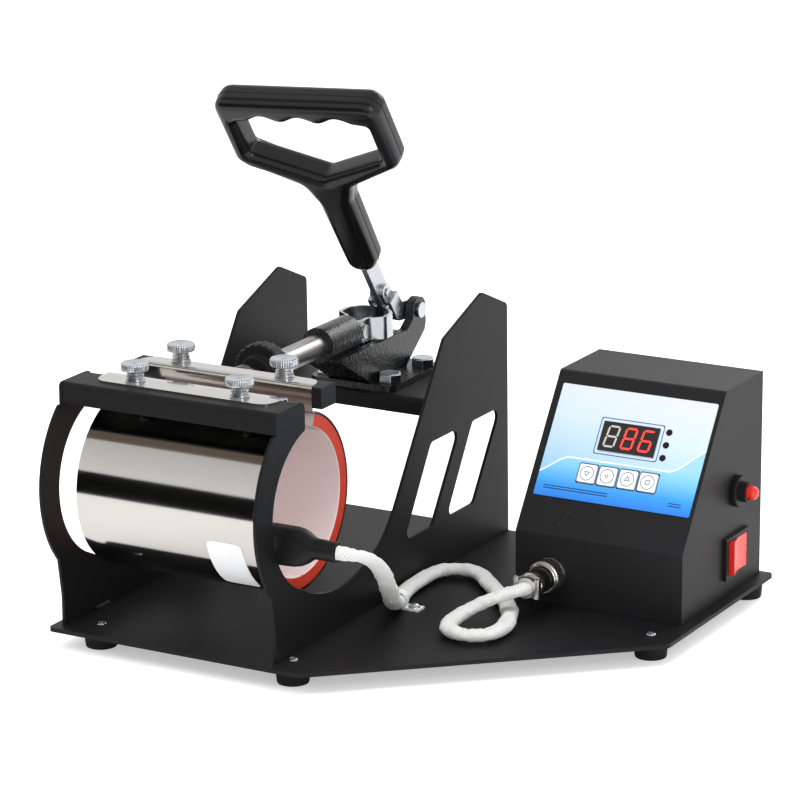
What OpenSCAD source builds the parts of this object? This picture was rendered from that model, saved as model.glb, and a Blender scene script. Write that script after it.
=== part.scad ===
/* [Frame] */
// Clear width between the two side plates
plate_gap = 137; // [132:1:145]
// Thickness of a side plate
plate_t = 2; // [1.5:0.5:3]
// Height of the base plate's top face above the floor
base_top = 13; // [12:0.5:15]
// Thickness of the base plate
base_t = 2.5; // [2:0.5:3]
// Diameter of a rubber foot
foot_d = 20; // [16:1:22]

/* [Heater] */
// Length of the silicone heating mat along the mug
heater_l = 115; // [100:1:118]
// Inside radius of the closed mat, which grips the mug
mug_r = 42; // [40:0.5:43]
// Thickness of the silicone mat
mat_t = 7.9; // [6:0.1:7.9]
// Thickness of the stainless band
band_t = 1; // [0.8:0.1:1]
// Half of the gap between the two bars at the top
band_gap = 13.5; // [12:0.5:14]

/* [Toggle clamp] */
// Diameter of the steel plunger
rod_d = 14; // [12:1:14]
// Lean of the closed handle from upright
lean = 35; // [25:1:40]
// Turn of the moulded grip on its bar
grip_turn = 4.5; // [0:0.5:12]
// Width of the grip across the hand
grip_w = 105; // [96:1:108]
// Diameter of the pressure knob
knob_d = 33; // [28:1:34]

/* [Control box] */
// Width of the control box
box_w = 105.2; // [100:0.2:108]
// Height of the control box above the base plate
box_h = 122.4; // [110:0.2:126]
// Sheet thickness of the control box
box_wall = 1.2; // [1:0.1:1.5]
// Side of one square key
key_w = 11; // [9:0.5:11]

/* [Hidden] */
$fn = 48;
// press frame: x = 0 on the left plate's inner face, y = 0 at the plates' front, z = 0 on the floor
mid_x = plate_gap / 2 + 2.5;
base_box = [-6.3, -7.9, 313.8, 272.5];
front_cut = [157.6, 130.2];
foot_at = [[16.6, 11.5], [143, 11], [297.5, 141.4], [301, 262], [10, 262]];
hub_y = 46.5;
hub_z = 91.2;
heater_x = mid_x - heater_l / 2;
mat_or = mug_r + mat_t;
band_r = mat_or + 0.1;
bar_top = 153.7;
bar_low = 141.5;
c_centre = [47, 94];
c_r = 65.5;
front_y = c_centre[0] - c_r;
tip_y = 4;
lip_top = 111.8;
shelf_y = 197;
shelf_back = 268;
rod_z = 146;
head_y = hub_y + band_gap;
head_w = 16;
head_x = [8, 134];
rod_y = 118;
tail_pin = [204, rod_z];
barrel_end = tail_pin[0] - 6.7;
clip_at = [150.5, 116];
clip_screw_x = 160.5;
link_pin = [246.5, 148.5];
fixed_pin = [259.5, 147.5];
link_l = norm(link_pin - tail_pin);
link_tilt = atan2(link_pin[1] - tail_pin[1], link_pin[0] - tail_pin[0]);
pin_r = 3;
fixed_r = 4;
fit = 0.05;
bolt_x = 21;
box_x = 201.1;
box_y = 162.6;
box_back = 267.6;
crease = [box_y, 53.5];
brow = [218.4, base_top + box_h];
panel_tilt = atan2(brow[1] - crease[1], brow[0] - crease[0]);
panel_mid = box_x + box_w / 2;
key_at = [235.9, 248.6, 261.4, 274.1];
key_up = 39.1;
plug_x = 224;
plug_z = 31;
switch_at = [232.5, 35.5];
button_at = [233.2, 73];
screw_x = [37.5, 105.5];
tip_x = box_x + box_w + 14;
shift = [-(base_box[0] + tip_x) / 2, -(front_y + base_box[3]) / 2, 0];
lead_r = 4;
lead_z = base_top + lead_r + 0.4;
lead_route = [[174, 8, 80], [180, 9.5, 79.5], [184.5, 15, 77.5], [185, 24, 73], [183, 35, 66.5],
    [179.5, 47, 58], [174.5, 60, 48], [169, 73, 38], [163.5, 85, 29], [158.5, 96, 22.3], [154, 107, 18.4],
    [150.5, 116, 17.4], [147.5, 127, 17.4], [145.6, 138.5, 17.5], [145.2, 150, 17.8], [145.3, 161.5, 18],
    [147.6, 172, 18], [154, 178, 18], [163, 179.9, 17.8], [171.5, 176.4, 17.5], [180, 168, 17.4],
    [190, 158, 17.4], [200, 148, 17.4], [209.5, 136.5, 17.4], [217, 125, 17.4], [222.8, 112, 17.4],
    [225.8, 99, 17.4], [224, 87.8, 17.4], [218.4, 82, 17.4], [211, 80, 17.4], [203.6, 82, 17.4],
    [198.2, 87.6, 17.6], [196.2, 95, 18.2], [197.8, 102.5, 20], [202, 109, 22.8], [208, 114, 26],
    [214.5, 118.5, 28.8], [220, 123.5, 30.6], [223.6, 129.3, 31], [224, 135.9, 31]];

function unit(v) = v / norm(v);
function xy(p) = [p[0], p[1]];
function inset(p, q, s, d) = let (a = unit(p - q), b = unit(s - q)) q + unit(a + b) * d / sin(acos(a * b) / 2);
function fillet(p, q, s, r, n) = r == 0 ? [q] :
    let (a = unit(p - q), b = unit(s - q), c = inset(p, q, s, r), d = r / tan(acos(a * b) / 2),
        u = q + a * d - c, v = q + b * d - c, turn = atan2(u[0] * v[1] - u[1] * v[0], u * v))
    [for (i = [0:n]) let (g = atan2(u[1], u[0]) + turn * i / n) c + r * [cos(g), sin(g)]];
// polygon from points [a, b, corner radius]
function rounded(P, n = 6) = let (k = len(P))
    [for (i = [0:k - 1]) each fillet(xy(P[(i + k - 1) % k]), xy(P[i]), xy(P[(i + 1) % k]), P[i][2], n)];
function arc(c, r, a0, a1, n = 24) = [for (i = [0:n]) let (a = a0 + (a1 - a0) * i / n) c + r * [cos(a), sin(a)]];
function ease(a, b, s) = let (k = max(0, min(1, (s - a) / (b - a)))) k * k * (3 - 2 * k);

module place() translate(shift) children();
// 2D shape in (y, z), drawn from x0 over a thickness t
module across(x0, t) translate([x0, 0, 0]) rotate([90, 0, 90]) linear_extrude(t) children();
// 2D shape in (x, z), drawn from y0 rearwards over a length l
module rearward(y0, l) translate([0, y0 + l, 0]) rotate([90, 0, 0]) linear_extrude(l) children();
module along_x(x0, l, r, y, z) translate([x0, y, z]) rotate([0, 90, 0]) cylinder(r = r, h = l);
module along_y(y0, l, r, x, z) translate([x, y0, z]) rotate([-90, 0, 0]) cylinder(r = r, h = l);
module capsule(a, b, r) {
    translate(a) circle(r);
    translate(b) circle(r);
    d = b - a;
    translate(a) rotate(atan2(d[1], d[0])) translate([0, -r]) square([norm(d), 2 * r]);
}
// frame of the sloping panel: x across, y up the slope, z out of the face
module on_panel() translate([0, crease[0], crease[1]]) rotate([panel_tilt, 0, 0]) children();
// frame of the closed handle: z up along the bar from the link pin
module on_handle() translate([mid_x, link_pin[0], link_pin[1]]) rotate([lean, 0, 0]) children();

module base_outline() polygon(rounded([[base_box[0], base_box[1], 3], [front_cut[0], base_box[1], 5],
    [base_box[2], front_cut[1], 5], [base_box[2], base_box[3], 3], [base_box[0], base_box[3], 3]]));

module base_plate() color("#1c1c1e") translate([0, 0, base_top - base_t]) difference() {
    linear_extrude(base_t) base_outline();
    for (f = foot_at) translate([f[0], f[1], -1]) cylinder(r = 2, h = base_t + 2);
    translate([clip_screw_x, clip_at[1], -1]) cylinder(r = 1.8, h = base_t + 2);
}

module rubber_feet() color("#141414") for (f = foot_at) translate([f[0], f[1], 0]) difference() {
    cylinder(d1 = foot_d - 2, d2 = foot_d, h = base_top - base_t);
    translate([0, 0, -1]) cylinder(r = 3.5, h = 5);
    cylinder(r = 2, h = base_top);
}

module foot_screws() color("#b9bcc0") for (f = foot_at) translate([f[0], f[1], 0]) {
    translate([0, 0, 4.2]) cylinder(r = 1.9, h = base_top - 4.2);
    translate([0, 0, base_top]) difference() {
        cylinder(r1 = 3, r2 = 2.2, h = 0.9);
        for (a = [0, 90]) rotate(a) translate([-1.6, -0.3, 0.5]) cube([3.2, 0.6, 1]);
    }
}

module weld_beads() color("#242426") for (y = [30, 120, 210], x = [0, plate_gap])
    translate([x, y, base_top]) rotate([-90, 0, 0]) intersection() {
        cylinder(r = 2, h = 14);
        translate([x == 0 ? 0.05 : -10.05, -10.05, -1]) cube([10, 10, 16]);
    }

// outline of a side plate: hooked front, low bridge and tall rear upright
function plate_outline() = concat(
    [[0, base_top], [0, 30]],
    arc(c_centre, c_r, 220, 134.1),
    rounded([[tip_y, 141, 0], [tip_y, bar_top, 3], [34.5, bar_top, 4], [34.5, 138, 0]]),
    arc([hub_y, hub_z], 47.5, 105, 240),
    arc([70.5, 122.8], 86.5, 248, 296, 12),
    [[115, 48], [123, 54.2]],
    rounded([[132.5, 64.6, 0], [191.9, 151.8, 3], [238.7, 169.2, 5], [270.2, 155.6, 4], [272, base_top, 0]]));

function slot_outline(y) = rounded([[y, 42.6, 4], [y + 33.5, 42.6, 5], [y + 68, 93.4, 5], [y + 32.5, 93.4, 4]]);

module side_plate(x) color("#1d1d1f") across(x, plate_t) difference() {
    polygon(plate_outline());
    for (y = [143.5, 194]) polygon(slot_outline(y));
}
module left_side_plate() side_plate(-plate_t);
module right_side_plate() side_plate(plate_gap);

module front_bar() color("#1c1c1e") difference() {
    across(0.05, plate_gap - 0.1) difference() {
        polygon(rounded([[tip_y + 0.5, bar_low, 0], [tip_y + 0.5, bar_top, 3], [31.5, bar_top, 3], [31.5, bar_low, 0]]));
        polygon(rounded([[tip_y + 2.5, bar_low - 1, 0], [tip_y + 2.5, bar_top - 2, 1.5], [29.5, bar_top - 2, 1.5],
            [29.5, bar_low - 1, 0]]));
    }
    for (x = screw_x) translate([x, 21.5, bar_low]) cylinder(r = 2.6, h = 20);
}

module clamp_shelf() color("#1b1b1d") difference() {
    across(0.05, plate_gap - 0.1)
        polygon(rounded([[shelf_y, lip_top - 10.3, 0], [shelf_y, lip_top, 3], [shelf_back, lip_top, 3],
            [shelf_back, lip_top - 10.3, 0], [shelf_back - 2, lip_top - 10.3, 0], [shelf_back - 2, lip_top - 2, 1],
            [shelf_y + 2, lip_top - 2, 1], [shelf_y + 2, lip_top - 10.3, 0]]));
    clamp_holes(lip_top - 3, 4);
}

module clamp_holes(z, h) for (x = [-bolt_x, bolt_x], y = [210.5, 250.5]) translate([mid_x + x, y, z]) cylinder(r = 4.2, h = h);

// half-ring profile in (y, z): side is -1 for the front half and 1 for the rear
module half_ring(ri, ro, side, gap_angle) translate([hub_y, hub_z]) polygon(concat(
    arc([0, 0], ro, side < 0 ? 90 + gap_angle : 90 - gap_angle, side < 0 ? 269.4 : -89.4, 48),
    arc([0, 0], ri, side < 0 ? 269.3 : -89.3, side < 0 ? 90 + gap_angle : 90 - gap_angle, 48)));

module mat_half(side) color("#c6391d") across(heater_x, heater_l) translate([hub_y, hub_z]) difference() {
    circle(mat_or, $fn = 96);
    circle(mug_r, $fn = 96);
    // all but one half, less its share of the gap at the top
    polygon(120 * [[0, 0], [side * cos(63), sin(63)], [-side, 1], [-side, -1], [side * sin(0.6), -cos(0.6)]]);
}
module mat_front() mat_half(-1);
module mat_rear() mat_half(1);

module band_half(side, bar_side, strip_w) color("#d9dadc") {
    leave = asin(band_gap / (band_r + band_t));
    top_z = hub_z + (band_r + band_t) * cos(leave);
    y0 = hub_y + side * band_gap;
    difference() {
        union() {
            across(heater_x, heater_l) half_ring(band_r, band_r + band_t, side, leave - 1.2);
            across(heater_x, heater_l) polygon([[y0, top_z - 2], [y0 - side * band_t, top_z - 2],
                [y0 - side * band_t, bar_top + band_t], [y0, bar_top + band_t]]);
            translate([heater_x, 0, bar_top + 0.05]) linear_extrude(band_t) polygon(rounded(
                [[0, y0 - side * 0.5, 0], [0, y0 + side * strip_w, 7], [heater_l, y0 + side * strip_w, 7],
                [heater_l, y0 - side * 0.5, 0]]));
        }
        for (x = screw_x) translate([x, bar_side, bar_top - 1]) cylinder(r = 2.6, h = 4);
    }
}
module band_front() band_half(-1, 21.5, 19);
module band_rear() band_half(1, head_y + 8.5, 12.5);

module thumbscrews(y, foot) color("#c3ccd2") for (x = screw_x) translate([x, y, 0]) {
    translate([0, 0, bar_top + band_t + 0.1]) cylinder(r = 5, h = 5.6);
    translate([0, 0, foot]) cylinder(r = 2.5, h = bar_top + 2 - foot);
    translate([0, 0, bar_top + 6.6]) difference() {
        rotate_extrude() polygon([[0, 0], [7, 0], [8, 0.8], [8, 3.6], [7.2, 4.5], [0, 4.5]]);
        for (a = [35, 125]) rotate(a) translate([-2.6, -0.5, 3.4]) cube([5.2, 1, 2]);
    }
}
module front_thumbscrews() thumbscrews(21.5, bar_low + 1);
module rear_thumbscrews() thumbscrews(head_y + 8.5, bar_low + 3);

module press_bar() color("#1a1a1c") difference() {
    across(head_x[0], head_x[1] - head_x[0]) translate([head_y + 0.1, bar_low])
        polygon(rounded([[0, 0, 1], [head_w, 0, 1], [head_w, bar_top - bar_low, 1.5], [0, bar_top - bar_low, 1]]));
    for (x = screw_x) translate([x, head_y + 8.5, bar_low + 2]) cylinder(r = 2.55, h = 20);
    along_y(head_y + head_w - 6, 8, 4 + fit, mid_x, rod_z);
}

module bar_collar() color("#232325") difference() {
    along_y(head_y + head_w + 0.15, 7, 8, mid_x, rod_z);
    along_y(head_y + head_w - 1, 10, 4 + fit, mid_x, rod_z);
}

module pressure_stud() color("#8d9094") along_y(head_y + head_w - 5, rod_y + 16 - head_y - head_w + 5, 4, mid_x, rod_z);

module pressure_knob() color("#161618") difference() {
    translate([mid_x, 0, rod_z]) rotate([-90, 0, 0]) {
        translate([0, 0, 97]) linear_extrude(10) circle(d = knob_d);
        translate([0, 0, 92]) cylinder(d = 20, h = 5);
        translate([0, 0, 107]) cylinder(d1 = 24, d2 = 14, h = 4.2);
    }
    along_y(90, 25, 4.02, mid_x, rod_z);
}

module plunger() color("#a9aaac") difference() {
    union() {
        along_y(rod_y, barrel_end - rod_y - 1.8, rod_d / 2, mid_x, rod_z);
        intersection() {
            along_y(barrel_end - 4.3, 17, rod_d / 2, mid_x, rod_z);
            across(mid_x - 5, 10) capsule(tail_pin - [16, 0], tail_pin, 6);
        }
    }
    along_y(rod_y - 1, 26, 4 + fit, mid_x, rod_z);
    along_x(mid_x - 10, 20, pin_r, tail_pin[0], tail_pin[1]);
}
module plunger_pin() color("#b5bac0") {
    along_x(mid_x - 8.1, 16.2, pin_r, tail_pin[0], tail_pin[1]);
    for (s = [-9.3, 8.1]) along_x(mid_x + s, 1.2, 4.2, tail_pin[0], tail_pin[1]);
}

// cheek of the casting in (y, z)
function cheek() = concat(
    rounded([[201, lip_top + 3.9, 0], [165.5, 136.5, 2], [167, 138.4, 0], [245, 138.4, 3], [251, 143, 0]]),
    arc(fixed_pin, 8, 160, -25, 12),
    rounded([[267.5, 139, 0], [266, 134, 3], [245, 118, 4], [243, lip_top + 3.9, 0]]));

module clamp_casting() color("#19191b") difference() {
    union() {
        translate([mid_x, 230, lip_top + 0.05]) linear_extrude(4)
            polygon(rounded([[-28.5, -31, 6], [28.5, -31, 6], [28.5, 31, 6], [-28.5, 31, 6]]));
        across(mid_x - 14, 28) polygon(cheek());
        along_y(barrel_end - 34.3, 34.3, 10.6, mid_x, rod_z);
    }
    along_y(barrel_end - 36, 60, rod_d / 2 + fit, mid_x, rod_z);
    across(mid_x - 8.5, 17) polygon([[barrel_end, 170], [barrel_end, 126], [240, 124], [252, 132], [280, 132], [280, 170]]);
    along_x(mid_x - 20, 40, fixed_r, fixed_pin[0], fixed_pin[1]);
    clamp_holes(lip_top - 1, 7);
}

module clamp_bolts() color("#c9cdd1") for (x = [-bolt_x, bolt_x], y = [210.5, 250.5]) translate([mid_x + x, y, 0]) {
    translate([0, 0, lip_top + 4.15]) rotate(30) linear_extrude(5.3) circle(r = 7.4, $fn = 6);
    translate([0, 0, lip_top - 10]) cylinder(r = 4, h = 15);
}
module clamp_nuts() color("#c9cdd1") for (x = [-bolt_x, bolt_x], y = [210.5, 250.5])
    translate([mid_x + x, y, lip_top - 8.6]) difference() {
        linear_extrude(6.5) circle(r = 7.4, $fn = 6);
        translate([0, 0, -1]) cylinder(r = 4, h = 9);
    }

module fixed_pivot_pin() color("#c3c8cd") {
    along_x(mid_x - 14.05, 28.1, fixed_r, fixed_pin[0], fixed_pin[1]);
    for (s = [-16, 14.05]) along_x(mid_x + s, 1.95, 4.8, fixed_pin[0], fixed_pin[1]);
}

// bowed link: s runs from the plunger pin to the link pin, the value is its distance from the middle
function bow(s) = 6.6 + 8.4 * ease(4.6, 12, s) - 11.15 * ease(18, 33, s);
module link(side) translate([mid_x, tail_pin[0], tail_pin[1]]) rotate([link_tilt, 0, 0]) intersection() {
    translate([0, 0, -10]) linear_extrude(20) polygon(concat(
        [for (s = [-6:1:48]) [side * (bow(s) - 1.25), s]], [for (s = [48:-1:-6]) [side * (bow(s) + 1.25), s]]));
    across(-20, 40) difference() {
        polygon(rounded([[-5.6, -6.8, 5], [-5.6, 6.8, 5], [27, 6.8, 4], [33, 4.6, 4], [link_l + 4.4, 4.6, 4.3],
            [link_l + 4.4, -4.6, 4.3], [33, -4.6, 4], [27, -6.8, 4]]));
        circle(pin_r + fit);
    }
}
module link_left() color("#c5cacf") link(-1);
module link_right() color("#c5cacf") link(1);

module handle_bar() color("#c9ccce") on_handle() across(-2, 4) {
    circle(6.25);
    translate([-6.25, 0]) square([12.5, 74]);
}

module fork_plates() color("#bfc5ca") for (side = [-1, 1]) {
    difference() {
        union() {
            across(mid_x + (side < 0 ? -8 : 5.5), 2.5) {
                capsule(link_pin, fixed_pin, 5.5);
                translate(link_pin) rotate(lean) translate([-5, 0]) square([10, 13]);
            }
            on_handle() across(side < 0 ? -7.9 : 2.15, 5.75) translate([-4.8, 10.4]) square([9.6, 2.4]);
            on_handle() across(side < 0 ? -4.55 : 2.05, 2.5)
                polygon(rounded([[-5, 10, 1], [5, 10, 1], [5, 22, 4.9], [-5, 22, 4.9]]));
        }
        along_x(mid_x - 10, 20, fixed_r + fit, fixed_pin[0], fixed_pin[1]);
        along_x(mid_x - 10, 20, pin_r, link_pin[0], link_pin[1]);
    }
}

module fork_rivets() color("#aeb4ba") {
    for (side = [-1, 1]) {
        along_x(mid_x + (side < 0 ? -8.2 : 5.45), 2.75, pin_r, link_pin[0], link_pin[1]);
        on_handle() along_x(side < 0 ? -5.6 : 4.6, 1, 2.6, 0, 16.5);
    }
}

// grip outline in (across the hand, along the bar)
module grip_outline() {
    w = grip_w / 2;
    difference() {
        polygon(rounded([[-w, 183, 9], [w, 183, 9], [w, 133, 8], [16, 114, 9], [11, 100, 12], [9, 42, 8.5],
            [-9, 42, 8.5], [-11, 100, 12], [-16, 114, 9], [-w, 133, 8]]));
        polygon(concat(
            [for (a = [-36:2:36]) [a, 167.6 + 2 * cos(a * 15)]],
            rounded([[w - 10.5, 165, 2], [w - 10.5, 138, 4], [0, 121, 4], [10.5 - w, 138, 4], [10.5 - w, 165, 2]])));
    }
}

module handle_grip() color("#0f0f10") on_handle() difference() {
    rotate(grip_turn) rotate([90, 0, 0]) translate([0, 0, -9.5]) linear_extrude(19) grip_outline();
    across(-2.05, 4.1) translate([-6.3, 40]) square([12.6, 34.1]);
}

module lead_boot() color("#151515") difference() {
    union() {
        across(128.7, 21) translate([8.9, 79]) polygon(rounded([[-6, -9, 5], [6, -9, 5], [6, 11, 5], [-6, 11, 5]]));
        translate([149.5, 8.9, 79.5]) scale([1, 0.55, 1]) sphere(r = 11, $fn = 32);
        along_x(150, 24, 5.9, 8.5, 80);
    }
    along_x(160, 20, lead_r + 0.2, 8, 80);
}

function bend(a, b, c, d, t) = 0.5 * (2 * b + (c - a) * t + (2 * a - 5 * b + 4 * c - d) * t * t
    + (3 * b - a - 3 * c + d) * t * t * t);
module tube(route, r, sides) {
    k = len(route);
    line = concat([for (i = [0:k - 2], t = [0, 0.5]) bend(route[max(0, i - 1)], route[i], route[i + 1],
        route[min(k - 1, i + 2)], t)], [route[k - 1]]);
    m = len(line);
    rings = [for (i = [0:m - 1]) let (t = unit(line[min(m - 1, i + 1)] - line[max(0, i - 1)]),
        u = unit(cross([0, 0, 1], t)), v = cross(t, u))
        for (j = [0:sides - 1]) line[i] + r * (u * cos(360 * j / sides) + v * sin(360 * j / sides))];
    faces = concat([[for (j = [0:sides - 1]) j]],
        [for (i = [0:m - 2], j = [0:sides - 1]) let (p = i * sides, q = (j + 1) % sides)
            [p + j, p + sides + j, p + sides + q, p + q]],
        [[for (j = [sides - 1:-1:0]) (m - 1) * sides + j]]);
    polyhedron(rings, faces);
}
module heater_lead() color("#e9eae8") tube(lead_route, lead_r, 10);

module clip_bore(r, h) translate([clip_at[0], clip_at[1], lead_z]) rotate([90, 0, 17]) cylinder(r = r, h = h, center = true);
module cable_clip() color("#dfe0e0") difference() {
    union() {
        clip_bore(5.6, 6);
        translate([clip_at[0] + 3.2, clip_at[1] - 3.8, base_top + 0.05]) cube([11.4, 7.6, 1.4]);
    }
    clip_bore(4.8, 20);
    translate([clip_at[0] - 12, clip_at[1] - 20, base_top - 10]) cube([40, 40, 10.05]);
    translate([clip_screw_x, clip_at[1], base_top - 1]) cylinder(r = 1.8, h = 5);
}
module clip_screw() color("#c9cdd1") translate([clip_screw_x, clip_at[1], base_top + 1.5]) {
    intersection() {
        translate([0, 0, -1.9]) sphere(r = 4.1);
        cylinder(r = 3.6, h = 3);
    }
    translate([0, 0, -5]) cylinder(r = 1.75, h = 5.5);
}

module plug_clamp() color("#c4c2be") difference() {
    union() {
        along_y(131, 5, 6.4, plug_x, plug_z);
        along_y(136, 5, 7.6, plug_x, plug_z);
        for (s = [-1, 1]) translate([plug_x + s * 6.6 - 1.6, 131, plug_z - 6]) cube([3.2, 4, 12]);
    }
    along_y(130, 6, 4.3, plug_x, plug_z);
}
module plug_body() color("#17171a") difference() {
    along_y(141.05, 10.5, 7.2, plug_x, plug_z);
    along_y(145, 10, 5.8, plug_x, plug_z);
}
module coupling_ring() color("#cfccc7") difference() {
    union() {
        along_y(152, 7.5, 9.9, plug_x, plug_z);
        along_y(150.2, 1.8, 8.9, plug_x, plug_z);
    }
    along_y(149, 12, 7.6, plug_x, plug_z);
}
module panel_socket() color("#c9c7c3") difference() {
    union() {
        along_y(160.9, 1.65, 9.6, plug_x, plug_z);
        along_y(151.9, 22, 7.15, plug_x, plug_z);
        along_y(164, 2, 9.5, plug_x, plug_z);
    }
    along_y(151, 6, 5.6, plug_x, plug_z);
}

module box_cover() color("#1b1b1d") difference() {
    across(box_x, box_w) polygon(rounded([[box_y, base_top + 0.05, 0], [crease[0], crease[1], 2], [brow[0], brow[1], 3],
        [box_back, brow[1], 0], [box_back, base_top + 0.05, 0]]));
    across(box_x + box_wall, box_w - 2 * box_wall) polygon([[box_y + box_wall, base_top - 1],
        inset([box_y, base_top], crease, brow, box_wall), inset(crease, brow, [box_back, brow[1]], box_wall),
        [box_back + 1, brow[1] - box_wall], [box_back + 1, base_top - 1]]);
    on_panel() {
        translate([239, 55, -5]) cube([33.3, 15.5, 10]);
        for (x = key_at) translate([x - key_w / 2 - 0.4, key_up - key_w / 2 - 0.4, -5]) cube([key_w + 0.8, key_w + 0.8, 10]);
        for (y = [54.8, 62.5, 70.2]) translate([278.8, y, -5]) cylinder(r = 1.6, h = 10);
    }
    along_y(box_y - 1, 4, 7.2, plug_x, plug_z);
    along_x(box_x + box_w - 3, 6, 6.1, button_at[0], button_at[1]);
    translate([box_x + box_w - 3, switch_at[0] - 13.6, switch_at[1] - 11.1]) cube([6, 27.2, 22.2]);
}

module box_floor() color("#2a2a2c") difference() {
    union() {
        translate([box_x + 1.4, box_y + 1.4, base_top + 0.05]) cube([box_w - 2.8, box_back - box_y - 3, 1.2]);
        for (x = [box_x + 1.4, box_x + box_w - 2.6]) translate([x, 185, base_top]) cube([1.2, 20, 9]);
    }
    for (x = [218, 290], y = [178, 250]) translate([x, y, base_top - 1]) cylinder(r = 1.6, h = 4);
    translate([foot_at[3][0] - 3.6, foot_at[3][1] - 3.6, base_top - 1]) cube([12, 12, 4]);
}

module box_rear_panel() color("#1b1b1d") difference() {
    union() {
        translate([box_x, box_back + 0.05, base_top + 0.05]) cube([box_w, 1.2, box_h - 0.1]);
        for (x = [box_x + 1.4, box_x + box_w - 9.4], z = [base_top + 8, base_top + box_h - 22])
            translate([x, box_back - 8, z]) cube([8, 8.1, 1.2]);
    }
    translate([panel_mid - 13.6, box_back - 2, 30]) cube([27.2, 6, 19.6]);
    for (i = [0:7]) translate([panel_mid - 31.5 + 8 * i, box_back - 2, 82]) cube([3, 6, 24]);
    for (x = [box_x + 5.4, box_x + box_w - 5.4], z = [base_top + 14, base_top + box_h - 10])
        along_y(box_back - 2, 6, 1.6, x, z);
}
module rear_panel_screws() color("#b9bcc0") for (x = [box_x + 5.4, box_x + box_w - 5.4],
    z = [base_top + 14, base_top + box_h - 10]) {
    along_y(box_back - 6, 7.3, 1.55, x, z);
    along_y(box_back + 1.3, 1.6, 2.9, x, z);
}

module panel_overlay() color("#2f7fc4") on_panel() difference() {
    translate([0, 0, 0.02]) linear_extrude(0.5) polygon(rounded([[205.8, 22.6, 1], [304, 22.6, 1], [304, 90.9, 1],
        [205.8, 90.9, 1]]));
    translate([238.6, 54.6, -1]) cube([34.1, 16.3, 3]);
    for (x = key_at) translate([x - key_w / 2 - 0.4, key_up - key_w / 2 - 0.4, -1]) cube([key_w + 0.8, key_w + 0.8, 3]);
    for (y = [54.8, 62.5, 70.2]) translate([278.8, y, -1]) cylinder(r = 1.6, h = 3);
}
module display_window() color("#1a0d0e") on_panel() {
    translate([237.9, 53.9, 0.56]) cube([35.4, 17.8, 0.9]);
}
module display_module() color("#2a1a1b") on_panel() {
    translate([240, 56, -7]) cube([31.3, 13.5, 7.3]);
}
module indicator_lamps() color("#101012") on_panel() for (y = [54.8, 62.5, 70.2])
    translate([278.8, y, -6]) cylinder(r = 1.5, h = 6.9);

module key(x) color("#eef0f0") on_panel() translate([x, key_up, -1.6]) linear_extrude(3)
    polygon(rounded([for (a = [-1, 1], b = [-1, 1]) [a * key_w / 2, a * b * key_w / 2, 1]]));
module key_down() key(key_at[0]);
module key_mode() key(key_at[1]);
module key_up_value() key(key_at[2]);
module key_set() key(key_at[3]);

module control_board() color("#1f6b3a") on_panel() {
    translate([208, 25, -9.6]) cube([92, 64, 1.6]);
    for (x = key_at) translate([x - 3, key_up - 3, -8.05]) cube([6, 6, 5.2]);
    for (x = [212, 296], y = [29, 85]) translate([x, y, -8.05]) cylinder(r = 2, h = 6);
}
module power_board() color("#256d3f") {
    translate([212, 172, 20]) cube([50, 80, 1.6]);
    for (x = [216, 258], y = [176, 248]) translate([x, y, 14.3]) cylinder(r = 2.2, h = 5.8);
    translate([224, 232, 21.5]) cylinder(r = 8, h = 20);
    translate([238, 180, 21.5]) cube([16, 12, 15]);
    translate([218, 205, 21.5]) cube([3, 20, 28]);
}
module transformer() color("#8a8d90") {
    translate([270, 186, 14.3]) cube([17, 24, 30]);
    translate([266.5, 190, 19]) cube([24, 16, 20]);
}

module mains_inlet() color("#121214") difference() {
    union() {
        translate([panel_mid - 13.5, box_back - 16, 30.1]) cube([27, 17.3, 19.4]);
        translate([panel_mid - 20, box_back + 1.3, 28.3]) cube([40, 2.6, 23]);
    }
    translate([panel_mid - 12, box_back - 12, 32]) cube([24, 20, 16]);
}

module switch_body() color("#121213") translate([box_x + box_w, switch_at[0], switch_at[1]]) difference() {
    union() {
        translate([0.05, -15.5, -12.5]) cube([2.4, 31, 25]);
        translate([-16, -13.5, -11]) cube([16.5, 27, 22]);
    }
    translate([-7, -12.4, -10.3]) cube([12, 24.8, 20.6]);
    cylinder(r = 1.6 + fit, h = 22.4, center = true);
}
module switch_rocker() color("#d8281c") translate([box_x + box_w, switch_at[0], switch_at[1]]) {
    rotate([0, 0, 7]) translate([0, 0, -9.9]) linear_extrude(19.8)
        polygon([[-4.2, 0], [-2.2, -10.6], [3.9, -11.4], [2.3, 0], [3.9, 11.4], [-2.2, 10.6]]);
    cylinder(r = 1.6, h = 21.8, center = true);
}

module button_body() color("#151516") difference() {
    union() {
        along_x(box_x + box_w - 16, 24.5, 6, button_at[0], button_at[1]);
        along_x(box_x + box_w - 2.4, 1.1, 8.5, button_at[0], button_at[1]);
    }
    along_x(box_x + box_w - 2, 20, 4.4, button_at[0], button_at[1]);
}
module button_nut() color("#131314") difference() {
    along_x(box_x + box_w + 0.05, 4, 9.3, button_at[0], button_at[1]);
    along_x(box_x + box_w - 1, 8, 6.02, button_at[0], button_at[1]);
}
module button_cap() color("#e0342a") intersection() {
    along_x(box_x + box_w + 2, 12, 4, button_at[0], button_at[1]);
    translate([box_x + box_w + 5.5, button_at[0], button_at[1]]) sphere(r = 8.5);
}

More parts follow.
